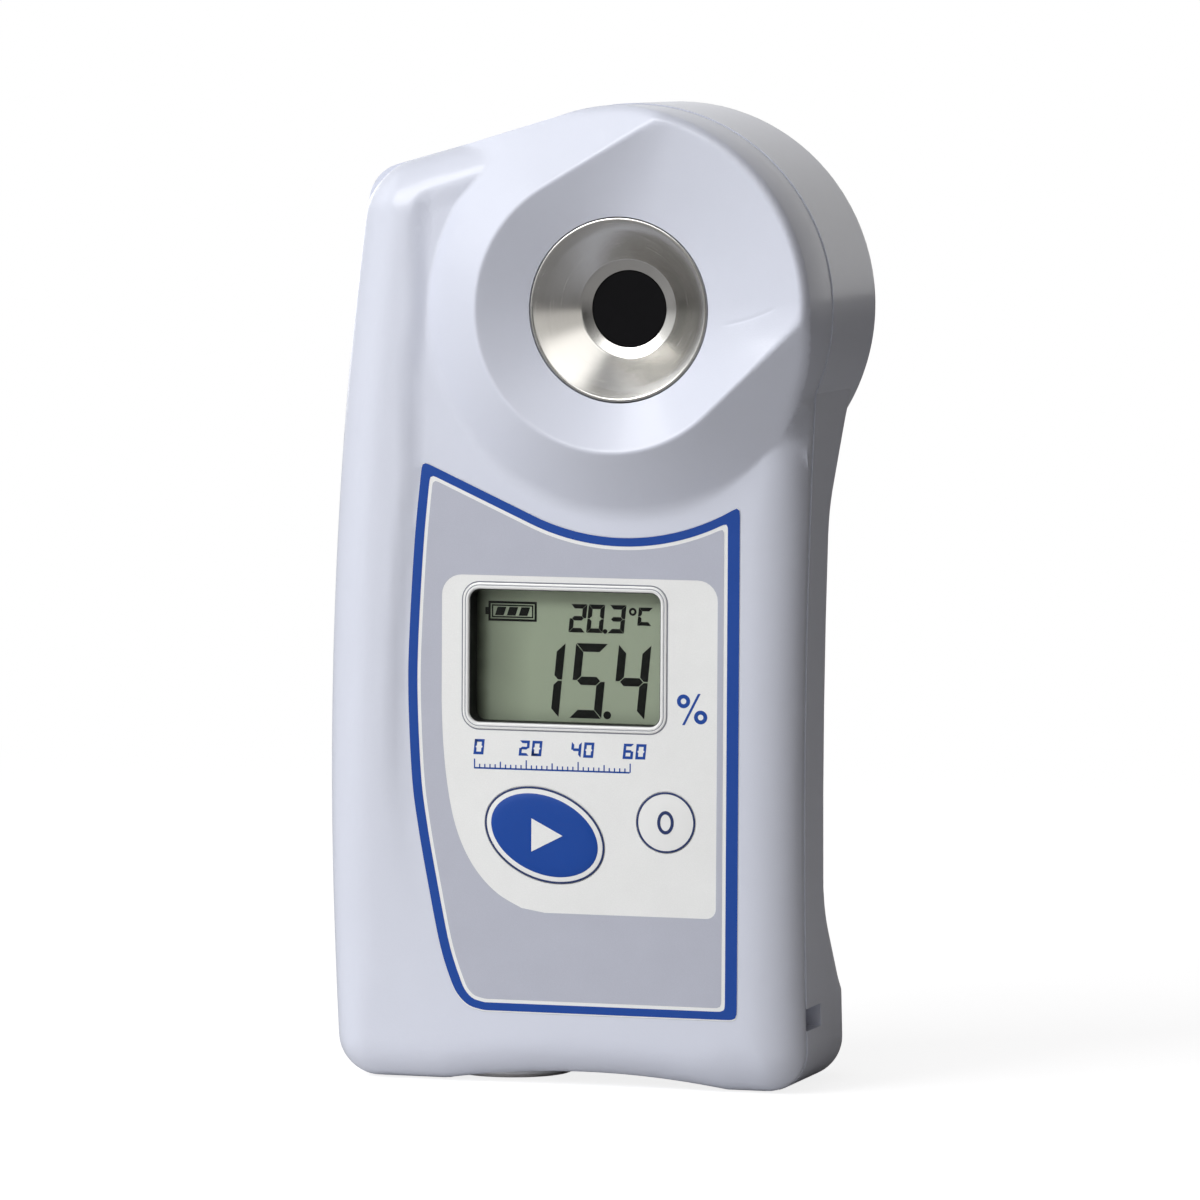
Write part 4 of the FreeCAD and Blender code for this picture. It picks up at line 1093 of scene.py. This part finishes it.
# Start key: white rim, blue middle, dark outline and a triangle
skin("start_cap", start_loop, KEY_SIDE + START_CROWN, KEY_H, key_white, "start_button",
     replaces=("start_key",))
skin("start_fill", start_loop, START_FILL, KEY_H, key_blue, "start_button")
skin("start_outline", start_loop, START_LINE, KEY_H, film_navy, "start_button", closed=True)
arrow = [(-4.1, 26.2), (-0.5, 28.05), (-4.1, 29.9)]
flat_piece("start_mark", [arrow], KEY_H + 0.29, KEY_H + 0.26, film_white, "start_button")

# Zero key: white cap, dark outline and a 0
skin("zero_cap", zero_loop, KEY_SIDE + ZERO_CROWN, KEY_H, key_white, "zero_button",
     replaces=("zero_key",))
skin("zero_outline", zero_loop, ZERO_LINE, KEY_H, film_navy, "zero_button", closed=True)
mark = [oval((*ZERO[:2], a, b, 0.0), 0.0, 40) for a, b in ((0.95, 1.3), (0.6, 0.92))]
flat_piece("zero_mark", [mark], KEY_H + 0.12, KEY_H + 0.09, film_navy, "zero_button")


# Prints on the film: a percent sign and a plain scale

def scale_marks():
    sign = [
        ring_shape(13.25, 43.38, 0.76, 0.32, 28), ring_shape(15.22, 41.65, 0.76, 0.32, 28),
        [(13.1, 40.75), (13.4, 40.75), (15.2, 44.25), (14.9, 44.25)],
    ]
    flat_piece("percent_mark", sign, INK_H, INK_H - 0.05, film_blue)
    left, foot, pitch = -10.9, 35.2, 0.6
    shapes = [box_loop(left, 7.1, foot, foot + 0.18)]
    for k in range(31):
        x = left + k * pitch
        tall = 1.0 if k % 10 == 0 else (0.75 if k % 5 == 0 else 0.45)
        shapes.append(box_loop(x, x + 0.14, foot + 0.1, foot + 0.1 + tall))
    for k, digits in enumerate(("0", "20", "40", "60")):
        x = left + 0.1 + k * 10 * pitch - (len(digits) - 1) * 0.75
        for digit in digits:
            shapes += figure(digit, x, 36.95, 0.85, 1.4, 0.3, 0.0)
            x += 1.45
    flat_piece("scale_marks", shapes, INK_H, INK_H - 0.05, film_blue)


scale_marks()


# Steel sample stage: radius and height round the ring, from its back corner inwards over the cone

CONE = [
    (12.05, 6.95), (10.13, 6.95), (10.13, 12.18), (10.09, 12.27), (10.0, 12.31), (9.82, 12.3), (9.72, 12.24),
    (8.6, 11.2), (7.5, 10.18), (6.5, 9.26), (5.6, 8.44), (5.45, 8.31), (5.3, 8.25),
    (4.5, 8.05), (4.28, 7.96), (4.24, 7.88), (4.23, 6.02), (12.05, 6.02),
]


def stage_loop(radius):
    return circle(HEAD, radius, 144)


skin("stage_cone", stage_loop, CONE, 0.0, stage_steel, closed=True,
     replaces=("sample_stage",))


# Studio: pale floor, white backdrop, soft lamps and camera

WHITE = (1.0, 1.0, 1.0, 1.0)


def seen_directly(rays):
    """1 for rays from the camera, straight or through clear glass."""
    return rays.math("MAXIMUM", rays.other("Is Transmission Ray"))


def diffuse(tree, colour):
    return Value.node(tree, "BsdfDiffuse", None, {"Color": colour})


def white_glow(tree, strength):
    return Value.node(tree, "Emission", None, {"Color": WHITE, "Strength": strength})


def floor_finish():
    """Grey paint that looks near white, keeps the object's shadow and fades to white far off.

    Light that it throws back at the object is brighter on the left.
    """
    material, tree = new_material("studio_floor")
    place = place_mm(tree)
    speck = noise(place, 0.02, 3.0)
    matt = blended(speck, diffuse(tree, (0.34, 0.34, 0.35, 1.0)), diffuse(tree, (0.38, 0.38, 0.39, 1.0)))
    lit = Value.node(tree, "AddShader", None, {0: matt, 1: white_glow(tree, 0.84)})
    rays = Value.node(tree, "LightPath")
    seen = seen_directly(rays)
    x = Value.node(tree, "SeparateXYZ", None, {0: place})
    lift = rays.other("Is Diffuse Ray") * eased(x, 110.0, -40.0, "LINEAR")
    bounce = blended(lift, matt, diffuse(tree, (0.95, 0.94, 0.92, 1.0)))
    reach = Value.node(tree, "VectorMath", {"operation": "LENGTH"}, {0: place}, 1)
    far = seen * eased(reach, 160.0, 420.0)
    close(tree, blended(far, blended(seen, bounce, lit), white_glow(tree, 1.0)))
    return material


def towards(direction, aim):
    """How nearly a direction points at an aim, from -1 to 1."""
    size = math.sqrt(sum(k * k for k in aim))
    sockets = {0: direction, 1: tuple(k / size for k in aim)}
    return Value.node(direction.tree, "VectorMath", {"operation": "DOT_PRODUCT"}, sockets, 1)


def glow_at(direction, aim, wide, narrow):
    """Soft round light in one direction, from nothing at angle wide to full at angle narrow."""
    low, high = math.cos(math.radians(wide)), math.cos(math.radians(narrow))
    return eased(towards(direction, aim), low, high)


def studio_floor():
    """A square in metres, just below the feet."""
    side, level = 30.0, -0.1 * MM
    corners = [(x * side, y * side, level) for x, y in ((-1, -1), (1, -1), (1, 1), (-1, 1))]
    mesh = bpy.data.meshes.new("studio_floor")
    mesh.from_pydata(corners, [], [(0, 1, 2, 3)])
    mesh.materials.append(floor_finish())
    in_scene("studio_floor", mesh)


# Light and dark patches of the room that only shiny faces see: direction, outer and inner angle, strength
PATCHES = (
    ((0.55, -0.31, 0.76), 32, 12, 1.6), ((-0.86, 0.06, 0.5), 26, 12, 1.0), ((0.93, -0.35, 0.0), 40, 12, 0.75),
    ((-0.97, 0.22, -0.07), 38, 14, -0.3), ((0.1, -0.99, -0.07), 30, 10, -0.42),
)


def studio_world():
    """A room that is bright and cool at the left front, and white to the camera."""
    world = bpy.data.worlds.new("studio_world")
    bpy.context.scene.world = world
    world.use_nodes = True
    tree = world.node_tree
    tree.nodes.clear()
    direction = Value.node(tree, "TexCoord")
    rays = Value.node(tree, "LightPath")
    glossy = rays.other("Is Glossy Ray")
    behind = eased(towards(direction, (0.0, 1.0, 0.0)), 0.3, 0.9)
    seen = seen_directly(rays).math("MAXIMUM", glossy * behind)
    room = towards(direction, (-0.8, -0.64, 0.15)) * 0.56 + 0.18
    patches = sum(glow_at(direction, aim, wide, narrow) * power for aim, wide, narrow, power in PATCHES)
    strength = (room + patches * glossy).math("MAXIMUM", 0.03)
    coolness = towards(direction, (-1.0, -0.6, 0.3)) * 0.5 + 0.5
    side = mixed(coolness, (1.0, 0.8, 0.58, 1.0), (0.93, 0.965, 1.0, 1.0))
    tone = mixed(glossy * 0.8, side, (0.98, 0.99, 1.0, 1.0))
    fill = Value.node(tree, "Background", None, {"Color": tone, "Strength": strength})
    white = Value.node(tree, "Background", None, {"Color": WHITE, "Strength": 1.0})
    close(tree, blended(seen, fill, white), "OutputWorld")


OBJECT_MIDDLE = Vector((0.0, 0.0, 0.055))


def lamp(name, place, size, power):
    """Rectangular soft lamp at a place in metres, facing the object's middle."""
    data = bpy.data.lights.new(name, "AREA")
    data.shape = "RECTANGLE"
    data.size, data.size_y = size
    data.energy = power
    made = in_scene(name, data)
    made.location = place
    made.rotation_euler = (Vector(place) - OBJECT_MIDDLE).to_track_quat("Z", "Y").to_euler()


studio_floor()
studio_world()
lamp("key_lamp", (-0.42, -0.55, 0.62), (0.5, 0.5), 3.85)
lamp("front_lamp", (-0.15, -0.82, 0.62), (0.6, 0.3), 1.5)
lamp("back_lamp", (-0.6, 0.8, 0.2), (0.5, 0.3), 0.9)


# Camera: its focal length in pixels of the photo, its turns in radians, and metres from the target

FOCAL_PX, PHOTO_PX, SENSOR_WIDTH = 8486.24, 1200, 36.0
YAW, PITCH, ROLL = 0.2906, 0.0719, 0.0054
DISTANCE = 0.9359
TARGET = np.array([3.584, -9.9, 54.308]) * MM


def camera():
    forward = np.array([-math.sin(YAW) * math.cos(PITCH), math.cos(YAW) * math.cos(PITCH), -math.sin(PITCH)])
    right = np.array([math.cos(YAW), math.sin(YAW), 0.0])
    up = np.cross(right, forward)
    data = bpy.data.cameras.new("camera")
    data.sensor_width = SENSOR_WIDTH
    data.lens = SENSOR_WIDTH * FOCAL_PX / PHOTO_PX
    data.clip_start, data.clip_end = 0.01, 100.0
    made = in_scene("camera", data)
    rows = np.eye(4)
    rows[:3, 0] = math.cos(ROLL) * right + math.sin(ROLL) * up
    rows[:3, 1] = math.cos(ROLL) * up - math.sin(ROLL) * right
    rows[:3, 2] = -forward
    rows[:3, 3] = TARGET - forward * DISTANCE
    made.matrix_world = Matrix(rows.tolist())
    bpy.context.scene.camera = made


camera()
bpy.context.scene.view_settings.view_transform = "Standard"
